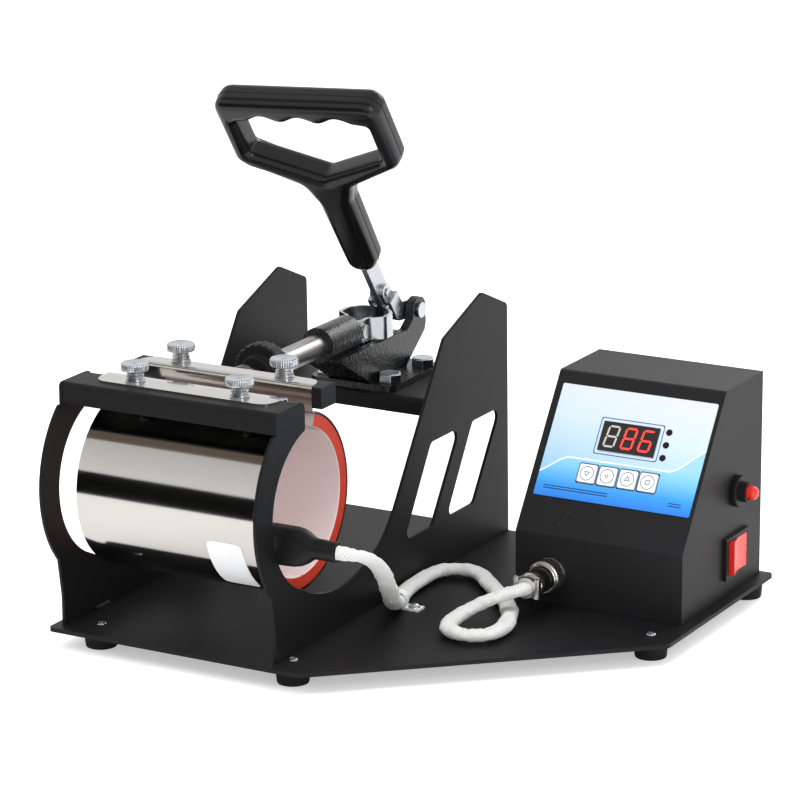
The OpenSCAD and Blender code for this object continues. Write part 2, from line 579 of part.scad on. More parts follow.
place() base_plate();
place() rubber_feet();
place() foot_screws();
place() weld_beads();
place() left_side_plate();
place() right_side_plate();
place() front_bar();
place() clamp_shelf();
place() band_front();
place() band_rear();
place() mat_front();
place() mat_rear();
place() front_thumbscrews();
place() rear_thumbscrews();
place() press_bar();
place() bar_collar();
place() pressure_stud();
place() pressure_knob();
place() plunger();
place() plunger_pin();
place() clamp_casting();
place() clamp_bolts();
place() clamp_nuts();
place() fixed_pivot_pin();
place() link_left();
place() link_right();
place() handle_bar();
place() fork_plates();
place() fork_rivets();
place() handle_grip();
place() lead_boot();
place() heater_lead();
place() cable_clip();
place() clip_screw();
place() plug_clamp();
place() plug_body();
place() coupling_ring();
place() panel_socket();
place() box_cover();
place() box_floor();
place() box_rear_panel();
place() rear_panel_screws();
place() panel_overlay();
place() display_window();
place() display_module();
place() indicator_lamps();
place() key_down();
place() key_mode();
place() key_up_value();
place() key_set();
place() control_board();
place() power_board();
place() transformer();
place() mains_inlet();
place() switch_body();
place() switch_rocker();
place() button_body();
place() button_nut();
place() button_cap();
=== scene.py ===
from math import atan2, cos, hypot, pi, radians, sin, sqrt, tau

import bmesh
import bpy
from mathutils import Matrix, Vector


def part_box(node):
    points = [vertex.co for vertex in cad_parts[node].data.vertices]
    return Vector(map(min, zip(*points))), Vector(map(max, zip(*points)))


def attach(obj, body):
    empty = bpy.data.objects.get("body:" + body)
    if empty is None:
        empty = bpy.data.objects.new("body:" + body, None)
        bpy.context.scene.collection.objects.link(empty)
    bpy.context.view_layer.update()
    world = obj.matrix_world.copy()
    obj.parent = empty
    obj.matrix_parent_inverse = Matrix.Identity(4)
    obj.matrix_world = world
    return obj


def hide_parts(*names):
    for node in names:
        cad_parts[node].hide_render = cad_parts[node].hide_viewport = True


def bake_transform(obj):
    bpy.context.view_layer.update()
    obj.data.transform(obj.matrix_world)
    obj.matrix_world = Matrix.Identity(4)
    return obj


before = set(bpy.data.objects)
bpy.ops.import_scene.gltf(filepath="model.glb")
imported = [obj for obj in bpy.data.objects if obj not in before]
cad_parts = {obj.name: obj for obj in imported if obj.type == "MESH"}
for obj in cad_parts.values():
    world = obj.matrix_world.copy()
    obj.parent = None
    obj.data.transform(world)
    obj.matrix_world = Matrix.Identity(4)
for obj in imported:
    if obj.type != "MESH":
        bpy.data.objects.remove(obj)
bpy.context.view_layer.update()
print("frame loaded,", len(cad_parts), "nodes")

# every length below is in millimetres, from the left plate's inner face, the front edge of
# the plates' foot and the bench, as the press would be dimensioned on a drawing
mm = 0.001
plateFront = 18.5  # how far the hook stands ahead of the plates' foot
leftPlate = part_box("left_side_plate")
datum = Vector((leftPlate[1].x, leftPlate[0].y + plateFront * mm, 0))


def at(x, y, z):
    return datum + Vector((x, y, z)) * mm


def boxOf(node):
    low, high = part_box(node)
    return (low - datum) / mm, (high - datum) / mm


# ---- camera ----

cameraPlan = {
    "around": 29.52,  # degrees round from the front
    "above": 15.75,
    "roll": -0.44,
    "distance": 2090.8,
    "target": (161.31, 100.0, 140.88),
    "lens": 169.14,
    "sensor": 36.0,
}


def aimCamera(plan):
    a, e, r = radians(plan["around"]), radians(plan["above"]), radians(plan["roll"])
    back = Vector((sin(a) * cos(e), -cos(a) * cos(e), sin(e)))
    level = Vector((cos(a), sin(a), 0))
    rise = back.cross(level)
    right = level * cos(r) + rise * sin(r)
    up = rise * cos(r) - level * sin(r)
    data = bpy.data.cameras.new("camera")
    data.lens = plan["lens"]
    data.sensor_width = plan["sensor"]
    data.clip_start = 0.05
    data.clip_end = 50
    camera = bpy.data.objects.new("camera", data)
    place = at(*plan["target"]) + back * plan["distance"] * mm
    camera.matrix_world = Matrix.Translation(place) @ Matrix((right, up, back)).transposed().to_4x4()
    bpy.context.scene.collection.objects.link(camera)
    bpy.context.scene.camera = camera


aimCamera(cameraPlan)


# ---- shader maths ----


class Wire:
    # one output of a shader node, so that finishes can be written as sums
    def __init__(self, finish, socket):
        self.finish = finish
        self.socket = socket

    def _do(self, operation, a, b):
        return self.finish.node("ShaderNodeMath", {"operation": operation}, {0: a, 1: b})

    def __add__(self, other):
        return self._do("ADD", self, other)

    def __radd__(self, other):
        return self._do("ADD", other, self)

    def __sub__(self, other):
        return self._do("SUBTRACT", self, other)

    def __rsub__(self, other):
        return self._do("SUBTRACT", other, self)

    def __mul__(self, other):
        return self._do("MULTIPLY", self, other)

    def __rmul__(self, other):
        return self._do("MULTIPLY", other, self)

    def __truediv__(self, other):
        return self._do("DIVIDE", self, other)

    def __pow__(self, other):
        return self._do("POWER", self, other)

    def __lt__(self, other):
        return self._do("LESS_THAN", self, other)

    def __gt__(self, other):
        return self._do("GREATER_THAN", self, other)


class Finish:
    def __init__(self, name):
        self.material = bpy.data.materials.new(name)
        self.material.use_nodes = True
        self.tree = self.material.node_tree
        self.shader = self.tree.nodes["Principled BSDF"]

    # the one way a node is made: its type, its settings, and the values or wires of its sockets
    def node(self, kind, settings=None, sockets=None, out=0):
        made = self.tree.nodes.new(kind)
        for name, value in (settings or {}).items():
            if name == "stops":
                ramp = made.color_ramp
                while len(ramp.elements) < len(value):
                    ramp.elements.new(0.5)
                for element, (position, tone) in zip(ramp.elements, value):
                    element.position = position
                    element.color = (*tone, 1)
            else:
                setattr(made, name, value)
        for name, value in (sockets or {}).items():
            self._fill(made.inputs[name], value)
        return Wire(self, made.outputs[out])

    def _fill(self, socket, value):
        if isinstance(value, Wire):
            self.tree.links.new(value.socket, socket)
        elif hasattr(value, "__len__") and len(value) == 3 and socket.type == "RGBA":
            socket.default_value = (*value, 1)
        else:
            socket.default_value = value

    def set(self, **sockets):
        for name, value in sockets.items():
            self._fill(self.shader.inputs[name.replace("_", " ")], value)

    def object(self):
        return self.node("ShaderNodeTexCoord", out="Object")

    def stretched(self, scale, turn=(0, 0, 0)):
        place = {"Vector": self.object(), "Scale": scale, "Rotation": turn}
        return self.node("ShaderNodeMapping", None, place)

    def noise(self, scale, detail=2.0, where=None, rough=0.5):
        where = where or self.object()
        return self.node("ShaderNodeTexNoise", None,
                         {"Vector": where, "Scale": scale, "Detail": detail, "Roughness": rough}, "Fac")

    def cells(self, scale, where=None):
        where = where or self.object()
        place = {"Vector": where, "Scale": scale}
        return self.node("ShaderNodeTexVoronoi", {"feature": "F1"}, place, "Distance")

    def between(self, amount, low, high):
        return self.node("ShaderNodeMapRange", {"clamp": True},
                         {"Value": amount, "From Min": low, "From Max": high, "To Min": 0.0, "To Max": 1.0})

    def blend(self, amount, first, second):
        colours = {"data_type": "RGBA", "clamp_factor": True}
        return self.node("ShaderNodeMix", colours, {0: amount, 6: first, 7: second}, 2)

    def axes(self, where=None):
        parts = self.tree.nodes.new("ShaderNodeSeparateXYZ")
        self.tree.links.new((where or self.object()).socket, parts.inputs[0])
        return [Wire(self, parts.outputs[i]) for i in range(3)]

    def do(self, operation, a, b=0.0):
        return self.node("ShaderNodeMath", {"operation": operation}, {0: a, 1: b})

    def bumped(self, height, strength, depth):
        relief = {"Height": height, "Strength": strength, "Distance": depth * mm}
        bump = self.node("ShaderNodeBump", None, relief)
        self.set(Normal=bump)


# ---- finishes ----


def powderCoat(name, tone=(0.0062, 0.0062, 0.0068), gloss=0.38, grain=0.35, shine=0.17):
    f = Finish(name)
    specks = f.noise(1500, 2)
    cloud = f.noise(14, 3)
    dust = f.between(f.noise(420, 1), 0.735, 0.79)
    base = f.blend(cloud, tone, [c * 1.45 for c in tone])
    f.set(Base_Color=f.blend(dust * 0.16, base, (0.12, 0.12, 0.12)))
    f.set(Roughness=gloss + cloud * 0.1 + specks * 0.06, Specular_IOR_Level=shine)
    f.bumped(specks + f.cells(900) * 0.6, grain, 0.06)
    return f.material


def wrinklePaint():
    f = Finish("wrinkle paint on cast iron")
    lumps = f.noise(420, 3, rough=0.6)
    pits = f.cells(650)
    f.set(Base_Color=f.blend(lumps, (0.004, 0.004, 0.0045), (0.010, 0.010, 0.011)))
    f.set(Roughness=0.15 + lumps * 0.2, Specular_IOR_Level=0.45)
    f.bumped(lumps + pits * 0.5, 0.75, 0.35)
    return f.material


def mouldedRubber(name, tone, rough=0.62):
    f = Finish(name)
    grain = f.noise(900, 2)
    f.set(Base_Color=f.blend(f.noise(60, 3), tone, [c * 1.7 for c in tone]))
    f.set(Roughness=rough + grain * 0.12, Specular_IOR_Level=0.2)
    f.bumped(grain, 0.25, 0.08)
    return f.material


def mirrorSteel():
    f = Finish("mirror polished stainless")
    haze = f.noise(26, 4, rough=0.65)
    lines = f.noise(1.0, 2, where=f.stretched((2300, 22, 22)))
    dents = f.noise(17, 1)
    f.set(Base_Color=f.blend(haze, (0.54, 0.52, 0.49), (0.61, 0.59, 0.56)))
    f.set(Metallic=1.0, Roughness=0.045 + haze * 0.05 + lines * 0.06)
    f.bumped(dents + lines * 0.012, 0.35, 0.5)
    return f.material


def brightZinc(name="bright zinc plate", rough=0.15):
    f = Finish(name)
    cloud = f.noise(110, 4, rough=0.6)
    scratch = f.noise(1.0, 3, where=f.stretched((300, 2200, 500), (0.3, 0.2, 0.7)))
    f.set(Base_Color=f.blend(cloud, (0.44, 0.47, 0.50), (0.62, 0.645, 0.66)))
    f.set(Metallic=1.0, Roughness=rough + cloud * 0.14 + scratch * 0.06)
    f.bumped(scratch + cloud * 0.6, 0.1, 0.03)
    return f.material


def turnedSteel():
    f = Finish("turned steel")
    rings = f.noise(1.0, 3, where=f.stretched((60, 2400, 60)))
    cloud = f.noise(70, 3)
    f.set(Base_Color=f.blend(cloud, (0.30, 0.295, 0.285), (0.42, 0.415, 0.40)))
    f.set(Metallic=1.0, Roughness=0.24 + rings * 0.12 + cloud * 0.06)
    f.bumped(rings, 0.08, 0.02)
    return f.material


def nickelPlate():
    f = Finish("bright nickel plate")
    cloud = f.noise(240, 3)
    f.set(Base_Color=f.blend(cloud, (0.60, 0.575, 0.54), (0.74, 0.72, 0.69)))
    f.set(Metallic=1.0, Roughness=0.14 + cloud * 0.12)
    f.bumped(f.noise(1300, 2), 0.08, 0.03)
    return f.material


def siliconeMat():
    f = Finish("red silicone heating mat")
    x, y, z = f.axes()
    hub = at(0, heater["hubY"], heater["hubZ"])
    away = f.do("SQRT", (y - hub.y) * (y - hub.y) + (z - hub.z) * (z - hub.z))
    inner = away < (heater["mugRadius"] + 0.45) * mm
    around = f.do("ARCTAN2", z - hub.z, y - hub.y) * heater["mugRadius"] * mm
    threads = f.do("SINE", x * (tau / (1.5 * mm))) * f.do("SINE", around * (tau / (1.5 * mm)))
    cloud = f.noise(90, 3)
    cast = f.blend(cloud, (0.42, 0.022, 0.008), (0.56, 0.045, 0.015))
    cloth = f.blend(f.between(threads, -0.8, 0.8), (0.60, 0.47, 0.46), (0.80, 0.69, 0.68))
    facing = f.axes(f.node("ShaderNodeTexCoord", out="Normal"))[0]
    ends = (f.do("ABSOLUTE", y - hub.y) < 22.8 * mm) * (z > hub.z) * (f.do("ABSOLUTE", facing) < 0.4)
    f.set(Base_Color=f.blend(ends, f.blend(inner, cast, cloth), (0.42, 0.36, 0.33)))
    f.set(Roughness=0.46 + cloud * 0.12)
    f.set(Specular_IOR_Level=0.4, Subsurface_Weight=0.0)
    f.bumped(threads * inner + f.noise(700, 2) * 0.5, 0.35, 0.12)
    return f.material


def glossPlastic(name, tone, rough=0.2, grain=0.12, shine=0.5):
    f = Finish(name)
    cloud = f.noise(45, 3)
    skin = f.noise(1100, 2)
    f.set(Base_Color=f.blend(cloud, tone, [min(1, c * 1.35) for c in tone]))
    f.set(Roughness=rough + cloud * 0.07 + skin * 0.04, Specular_IOR_Level=shine)
    f.bumped(skin, grain, 0.05)
    return f.material


def wovenSleeve():
    # u runs round the sleeve and v along it, one unit to the sleeve's width
    f = Finish("woven glass fibre sleeve")
    u, v, _ = f.axes(f.node("ShaderNodeUVMap", {"uv_map": "weave"}))
    left = f.do("SINE", (u * 9 + v * 7) * tau)
    right = f.do("SINE", (u * 9 - v * 7) * tau)
    ribs = f.do("SINE", v * (tau * 9)) * f.do("SINE", u * (tau * 16))
    weave = f.do("MAXIMUM", left, right) + ribs * 0.7
    fluff = f.noise(1500, 3)
    stain = f.noise(70, 3)
    pale = f.blend(stain, (0.80, 0.80, 0.785), (0.66, 0.665, 0.655))
    f.set(Base_Color=f.blend(f.between(weave, -0.9, 0.6), (0.50, 0.505, 0.50), pale))
    f.set(Roughness=0.86 + fluff * 0.1, Specular_IOR_Level=0.25, Sheen_Weight=0.25, Sheen_Roughness=0.5)
    f.bumped(weave + fluff * 0.8, 0.55, 0.28)
    return f.material


def paperLabel():
    f = Finish("coated paper label")
    fibres = f.noise(1600, 3)
    f.set(Base_Color=f.blend(fibres, (0.80, 0.81, 0.82), (0.88, 0.885, 0.89)))
    f.set(Roughness=0.48 + fibres * 0.1)
    f.bumped(fibres, 0.12, 0.03)
    return f.material


def boardGreen():
    f = Finish("printed circuit board")
    x, y, z = f.axes()
    tracks = f.do("SINE", (x + y) * 2200) * f.do("SINE", (x - y) * 1700)
    copper = f.between(tracks, 0.55, 0.62)
    f.set(Base_Color=f.blend(copper, (0.012, 0.12, 0.045), (0.03, 0.24, 0.10)))
    f.set(Roughness=0.34 + f.noise(300, 2) * 0.12)
    f.bumped(copper, 0.3, 0.05)
    return f.material


def laminatedCore():
    f = Finish("laminated steel core")
    leaves = f.do("SINE", f.axes()[0] * (tau / (0.5 * mm)))
    f.set(Base_Color=f.blend(f.between(leaves, -1, 1), (0.16, 0.16, 0.165), (0.38, 0.38, 0.39)))
    f.set(Metallic=0.8, Roughness=0.45 + f.noise(200, 2) * 0.1)
    f.bumped(leaves, 0.3, 0.06)
    return f.material


# ---- mesh helpers ----


def linked(name, bm, material):
    mesh = bpy.data.meshes.new(name)
    bm.to_mesh(mesh)
    bm.free()
    mesh.materials.append(material)
    piece = bpy.data.objects.new(name, mesh)
    bpy.context.scene.collection.objects.link(piece)
    return piece


def roundOver(bm, edges, width, steps, profile=0.5):
    bmesh.ops.bevel(bm, geom=edges, offset=width * mm, offset_type="OFFSET", segments=steps,
                    profile=profile, affect="EDGES", clamp_overlap=True, material=-1)


def finished(name, bm, material, body, replaces=(), smoothTo=38, weighted=True):
    for face in bm.faces:
        face.smooth = True
    for edge in bm.edges:
        edge.smooth = len(edge.link_faces) == 2 and edge.calc_face_angle(0) < radians(smoothTo)
    piece = linked(name, bm, material)
    if weighted:
        flats = piece.modifiers.new("flats", "WEIGHTED_NORMAL")
        flats.keep_sharp = True
    if body:
        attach(piece, body)
    if replaces:
        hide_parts(*replaces)
    return piece


def softened(name, node, edge, material, body, slot, steps=2):
    # the drawn solid of a node with its sharp edges broken, as bent sheet and castings have them
    bm = bmesh.new()
    bm.from_mesh(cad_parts[node].data)
    bmesh.ops.remove_doubles(bm, verts=bm.verts, dist=2e-6)
    bmesh.ops.dissolve_limit(bm, angle_limit=radians(1.2), verts=bm.verts, edges=bm.edges)
    bmesh.ops.dissolve_degenerate(bm, dist=2e-6, edges=bm.edges)
    sharp = [e for e in bm.edges if len(e.link_faces) == 2 and e.calc_face_angle(0) > radians(28)]
    roundOver(bm, sharp, edge, steps)
    return finished(name, bm, material, body, [node])


def spun(bm, profile, steps=48):
    # a closed turned part about Z from (radius, height) points in mm
    points = [bm.verts.new((r * mm, 0, h * mm)) for r, h in profile]
    edges = [bm.edges.new(pair) for pair in zip(points, points[1:])]
    bmesh.ops.spin(bm, geom=points + edges, cent=(0, 0, 0), axis=(0, 0, 1), angle=tau, steps=steps,
                   use_merge=True)
    bmesh.ops.remove_doubles(bm, verts=bm.verts, dist=1e-7)
    bmesh.ops.recalc_face_normals(bm, faces=bm.faces)
    return bm


def put(bm, place, turn=None, verts=None):
    matrix = Matrix.Translation(place) @ (turn.to_4x4() if turn else Matrix.Identity(4))
    bmesh.ops.transform(bm, matrix=matrix, verts=verts or bm.verts)


alongY = Matrix.Rotation(radians(-90), 3, "X")  # local Z to world +Y
alongX = Matrix.Rotation(radians(90), 3, "Y")  # local Z to world +X


def joined(parts):
    whole = bmesh.new()
    for part in parts:
        mesh = bpy.data.meshes.new("part")
        part.to_mesh(mesh)
        part.free()
        whole.from_mesh(mesh)
        bpy.data.meshes.remove(mesh)
    return whole


def spline(points, perSpan):
    # the smooth line through given points that the drawn tube follows too
    line = []
    count = len(points)
    for i in range(count - 1):
        a, b, c, d = (Vector(points[max(0, min(count - 1, i + k))]) for k in (-1, 0, 1, 2))
        for step in range(perSpan):
            t = step / perSpan
            line.append(0.5 * (2 * b + (c - a) * t + (2 * a - 5 * b + 4 * c - d) * t * t
                               + (3 * b - a - 3 * c + d) * t ** 3))
    return line + [Vector(points[-1])]


# ---- the heater's lead ----

lead = {
    "width": 10.0,
    "thickness": 6.4,
    "crease": 0.55,
    "clipAt": 116,
    "sides": 20,
    "ringsPerSpan": 7,
    "route": [
        (174, 8, 80), (180, 9.5, 79.5), (184.5, 15, 77.5), (185, 24, 73), (183, 35, 66.5),
        (179.5, 47, 58), (174.5, 60, 48), (169, 73, 38), (163.5, 85, 29), (158.5, 96, 22.3), (154, 107, 18.4),
        (150.5, 116, 17.4), (147.5, 127, 17.4), (145.6, 138.5, 17.5), (145.2, 150, 17.8), (145.3, 161.5, 18),
        (147.6, 172, 18), (154, 178, 18), (163, 179.9, 17.8), (171.5, 176.4, 17.5), (180, 168, 17.4),
        (190, 158, 17.4), (200, 148, 17.4), (209.5, 136.5, 17.4), (217, 125, 17.4), (222.8, 112, 17.4),
        (225.8, 99, 17.4), (224, 87.8, 17.4), (218.4, 82, 17.4), (211, 80, 17.4), (203.6, 82, 17.4),
        (198.2, 87.6, 17.6), (196.2, 95, 18.2), (197.8, 102.5, 20), (202, 109, 22.8), (208, 114, 26),
        (214.5, 118.5, 28.8), (220, 123.5, 30.6), (223.6, 129.3, 31), (224, 135.9, 31),
    ],
}


def makeLead():
    line = spline(lead["route"], lead["ringsPerSpan"])
    bm = bmesh.new()
    weave = bm.loops.layers.uv.new("weave")
    rings = []
    run = 0.0
    along = []
    last = len(line) - 1
    for i, point in enumerate(line):
        ahead = (line[min(last, i + 1)] - line[max(0, i - 1)]).normalized()
        side = Vector((0, 0, 1)).cross(ahead).normalized()
        up = ahead.cross(side)
        nearClamp = max(0.0, 1 - (last - i) / 12)
        nearBoot = max(0.0, 1 - i / 8)
        round_ = max(nearClamp, nearBoot)
        wide = lead["width"] / 2 * (1 - round_) + 4.0 * round_
        thick = lead["thickness"] / 2 * (1 - round_) + 3.9 * round_
        nearClip = max(0.0, 1 - abs(point.y - lead["clipAt"]) / 9) if point.z < 20 else 0.0
        wide -= 0.5 * nearClip
        thick += 0.4 * nearClip
        crease = lead["crease"] * sin(i * 0.9) * sin(i * 0.37) * (1 - round_)
        ring = bmesh.ops.create_circle(bm, segments=lead["sides"], radius=1.0)["verts"]
        for vert in ring:
            a = atan2(vert.co.y, vert.co.x)
            w = abs(cos(a)) ** 0.8 * (1 if cos(a) > 0 else -1) * (wide + crease)
            h = abs(sin(a)) ** 0.9 * (1 if sin(a) > 0 else -1) * (thick - crease)
            vert.co = datum + (point + side * w + up * h) * mm
        rings.append(ring)
        along.append(run)
        if i < last:
            run += (line[i + 1] - point).length
    for i in range(last):
        for j in range(lead["sides"]):
            k = (j + 1) % lead["sides"]
            face = bm.faces.new((rings[i][j], rings[i][k], rings[i + 1][k], rings[i + 1][j]))
            for loop, (u, v) in zip(face.loops, ((j, i), (j + 1, i), (j + 1, i + 1), (j, i + 1))):
                loop[weave].uv = (u / lead["sides"], along[v] / lead["width"])
    for ring in (rings[0], rings[-1]):
        bm.faces.new(ring)
    bmesh.ops.recalc_face_normals(bm, faces=bm.faces)
    piece = finished("woven_lead", bm, wovenSleeve(), "frame", ["heater_lead"], 60,
                     weighted=False)
    print("lead", round(run), "mm long")


heater = {
    "hubY": 46.5,
    "hubZ": 91.2,
    "mugRadius": 42.0,
    "matOuter": 49.9,
    "bandInner": 50.0,
    "bandOuter": 51.0,
    "bandLeave": 15.6,  # degrees from the top to where the band's arc starts
    "matLeave": 19.5,  # degrees from the top to where the mat starts
    "gap": 13.5,  # half the gap between the two bars
    "barTop": 153.75,
    "stripThickness": 1.0,
    "frontStrip": 19.0,
    "rearStrip": 12.5,
}
makeLead()


# ---- finishes in stock ----

coat = powderCoat("satin black powder coat")
boxCoat = powderCoat("case powder coat", (0.0075, 0.0075, 0.0085), 0.42, 0.4, 0.26)
casting = wrinklePaint()
zinc = brightZinc()
brightLever = brightZinc("bright handle bar", 0.24)
steel = turnedSteel()
nickel = nickelPlate()
rubber = mouldedRubber("black rubber", (0.006, 0.006, 0.006))
mattBlack = glossPlastic("matt moulded black", (0.006, 0.006, 0.0065), 0.42, 0.3, 0.25)
glossBlack = glossPlastic("gloss moulded black", (0.003, 0.003, 0.0034), 0.2, 0.14, 0.4)
whiteNylon = glossPlastic("white nylon", (0.62, 0.64, 0.64), 0.4, 0.2)
redPlastic = glossPlastic("red translucent plastic", (0.62, 0.022, 0.012), 0.22, 0.06)


# ---- sheet metal and frame ----

sheetEdges = {
    "base_plate": ("baseplate", 0.35, coat),
    "left_side_plate": ("leftHook", 0.35, coat),
    "right_side_plate": ("rightHook", 0.35, coat),
    "front_bar": ("frontBar", 0.3, coat),
    "clamp_shelf": ("clampShelf", 0.3, coat),
    "box_cover": ("caseCover", 0.35, boxCoat),
    "box_floor": ("caseFloor", 0.2, boxCoat),
    "box_rear_panel": ("caseBack", 0.25, boxCoat),
    "weld_beads": ("welds", 0.3, coat),
}
for node, (name, edge, finish) in sheetEdges.items():
    softened(name, node, edge, finish, "frame", "black_coat")
softened("pressBar", "press_bar", 0.3, coat, "press_head", "black_coat")
print("sheet metal done")

hardware = [
    ("clampCasting", "clamp_casting", 1.1, casting, "frame", "cast_black"),
    ("shelfNuts", "clamp_nuts", 0.3, zinc, "frame", "bright_zinc"),
    ("fixedPivot", "fixed_pivot_pin", 0.4, zinc, "frame", "bright_zinc"),
    ("leftLink", "link_left", 0.3, zinc, "links", "bright_zinc"),
    ("rightLink", "link_right", 0.3, zinc, "links", "bright_zinc"),
    ("handleBar", "handle_bar", 0.4, brightLever, "lever", "bright_zinc"),
    ("forkPlates", "fork_plates", 0.35, zinc, "lever", "bright_zinc"),
    ("forkRivets", "fork_rivets", 0.3, zinc, "lever", "bright_zinc"),
    ("plungerPin", "plunger_pin", 0.3, zinc, "press_head", "bright_zinc"),
    ("plungerRod", "plunger", 0.5, steel, "press_head", "turned_steel"),
    ("barCollar", "bar_collar", 0.6, casting, "press_head", "cast_black"),
    ("pressureStud", "pressure_stud", 0.3, steel, "knob", "turned_steel"),
    ("caseScrews", "rear_panel_screws", 0.4, zinc, "frame", "bright_zinc"),
    ("footScrews", "foot_screws", 0.15, zinc, "frame", "bright_zinc"),
    ("clipScrew", "clip_screw", 0.2, zinc, "frame", "bright_zinc"),
    ("leadClip", "cable_clip", 0.25, whiteNylon, "frame", "white_plastic"),
    ("footPads", "rubber_feet", 1.2, rubber, "frame", "rubber"),
    ("inletSocket", "mains_inlet", 0.5, mattBlack, "frame", "matt_black"),
    ("switchBezel", "switch_body", 0.6, mattBlack, "frame", "matt_black"),
    ("rocker", "switch_rocker", 0.7, redPlastic, "rocker", "red_switch"),
    ("buttonBarrel", "button_body", 0.4, mattBlack, "frame", "matt_black"),
    ("lamps", "indicator_lamps", 0.3, glossBlack, "frame", "matt_black"),
    ("connectorBody", "plug_body", 0.3, glossBlack, "frame", "matt_black"),
    ("panelSocket", "panel_socket", 0.3, nickel, "frame", "nickel"),
]
for row in hardware:
    softened(*row)

for node, finish in {
    "control_board": boardGreen(),
    "power_board": boardGreen(),
    "transformer": laminatedCore(),
    "display_module": mattBlack,
}.items():
    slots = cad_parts[node].data.materials
    slots.clear()
    slots.append(finish)
print("hardware done")


# ---- heating band ----


def bandProfile(side, inner, outer, start, steps):
    # one half ring in the (y, z) plane, from the gap at the top down to the bottom
    low = radians(-90)
    high = radians(90 - start)
    angles = [high + (low - high) * i / steps for i in range(steps + 1)]
    ring = [(side * outer * cos(a), outer * sin(a)) for a in angles]
    back = [(side * inner * cos(a), inner * sin(a)) for a in reversed(angles)]
    return [(heater["hubY"] + y, heater["hubZ"] + z) for y, z in ring + back]


def slab(bm, outline, x0, x1):
    # an outline in (y, z) pushed along X
    face = bm.faces.new([bm.verts.new(at(x0, y, z)) for y, z in outline])
    grown = bmesh.ops.extrude_face_region(bm, geom=[face])["geom"]
    moved = [g for g in grown if isinstance(g, bmesh.types.BMVert)]
    bmesh.ops.translate(bm, verts=moved, vec=((x1 - x0) * mm, 0, 0))
    bmesh.ops.recalc_face_normals(bm, faces=bm.faces)


def makeFlexible(side, name, body, bandNode, matNode, stripWidth):
    low, high = boxOf(matNode)
    x0, x1 = low.x, high.x
    hubY, hubZ, t = heater["hubY"], heater["hubZ"], heater["stripThickness"]
    r = heater["bandInner"] + t / 2
    leave = radians(heater["bandLeave"])
    y0 = side * (heater["gap"] - t / 2)
    top = heater["barTop"] + t / 2 - hubZ
    fold = 1.8
    # the sheet's middle line in (y, z) about the hub, from the strip's edge to the bottom
    line = [(y0 + side * (stripWidth * k / 4 + fold * (1 - k / 4)), top) for k in (4, 3, 2, 1, 0)]
    for a in (22, 45, 68, 90):
        line.append((y0 + side * fold * (1 - sin(radians(a))), top - fold * (1 - cos(radians(a)))))
    straight = r * cos(leave) + 2.5
    line += [(y0, top - fold - (top - fold - straight) * k / 3) for k in (1, 2, 3)]
    arcSteps = 60
    for i in range(arcSteps + 1):
        a = pi / 2 - leave - (pi - leave) * i / arcSteps
        line.append((side * r * cos(a), r * sin(a)))
    bm = bmesh.new()
    verts = [bm.verts.new(at(x0, hubY + y, hubZ + z)) for y, z in line]
    edges = [bm.edges.new(pair) for pair in zip(verts, verts[1:])]
    columns = 60
    geom = edges
    for i in range(columns):
        grown = bmesh.ops.extrude_edge_only(bm, edges=geom)["geom"]
        geom = [g for g in grown if isinstance(g, bmesh.types.BMEdge)]
        moved = [g for g in grown if isinstance(g, bmesh.types.BMVert)]
        bmesh.ops.translate(bm, verts=moved, vec=((x1 - x0) / columns * mm, 0, 0))
    # round the strip's two free corners
    corner = 9
    for vert in bm.verts:
        y = (vert.co.y - datum.y) / mm - hubY
        x = (vert.co.x - datum.x) / mm
        z = (vert.co.z - datum.z) / mm - hubZ
        if z < top - 0.01:
            continue
        out = side * (y - y0)
        edge = min(x - x0, x1 - x)
        if edge < corner:
            limit = stripWidth - corner + sqrt(max(0.0, corner ** 2 - (corner - edge) ** 2))
            if out > limit:
                vert.co.y = at(0, hubY + y0 + side * limit, 0).y
    bmesh.ops.remove_doubles(bm, verts=bm.verts, dist=1e-6)
    bmesh.ops.recalc_face_normals(bm, faces=bm.faces)
    band = finished(name + "Band", bm, mirror, None, [bandNode], 50, weighted=False)
    wall = band.modifiers.new("wall", "SOLIDIFY")
    wall.thickness = t * mm
    wall.offset = 0
    bm = bmesh.new()
    profile = bandProfile(side, heater["mugRadius"], heater["matOuter"], heater["matLeave"], 60)
    slab(bm, profile, x0, x1)
    rims = [e for e in bm.edges if e.is_manifold and e.calc_face_angle(0) > radians(60)]
    roundOver(bm, rims, 0.9, 3)
    pad = finished(name + "Mat", bm, silicone, None, [matNode])
    for piece in (band, pad):
        if body == "frame":
            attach(piece, body)
        else:
            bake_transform(piece)
    return band, pad


mirror = mirrorSteel()
silicone = siliconeMat()
makeFlexible(-1, "front", "frame", "band_front", "mat_front", heater["frontStrip"] + 0.5)
makeFlexible(1, "rear", "press_head", "band_rear", "mat_rear", heater["rearStrip"] + 0.5)
print("heating band done")


# ---- thumb screws, bolts and knob ----

thumb = {
    "across": (37.5, 105.5),
    "frontFoot": 142.5,
    "rearFoot": 144.5,
    "rimTeeth": 40,
    "toothDepth": 0.28,
}


def knurl(bm, radiusFrom, depth, teeth, low, high):
    # presses straight teeth into the turned rim between two heights
    for vert in bm.verts:
        r = hypot(vert.co.x, vert.co.y)
        if r > radiusFrom * mm and low * mm < vert.co.z < high * mm:
            a = atan2(vert.co.y, vert.co.x)
            push = depth * mm * (0.5 + 0.5 * cos(a * teeth))
            vert.co.x *= (r - push) / r
            vert.co.y *= (r - push) / r


def crossSlot(turn, z):
    bm = bmesh.new()
    for quarter in (0, 90):
        made = bmesh.ops.create_cube(bm, size=1.0)["verts"]
        bmesh.ops.scale(bm, vec=(4.4 * mm, 0.9 * mm, 0.16 * mm), verts=made)
        put(bm, Vector((0, 0, z * mm)), Matrix.Rotation(radians(turn + quarter), 3, "Z"), made)
    return bm


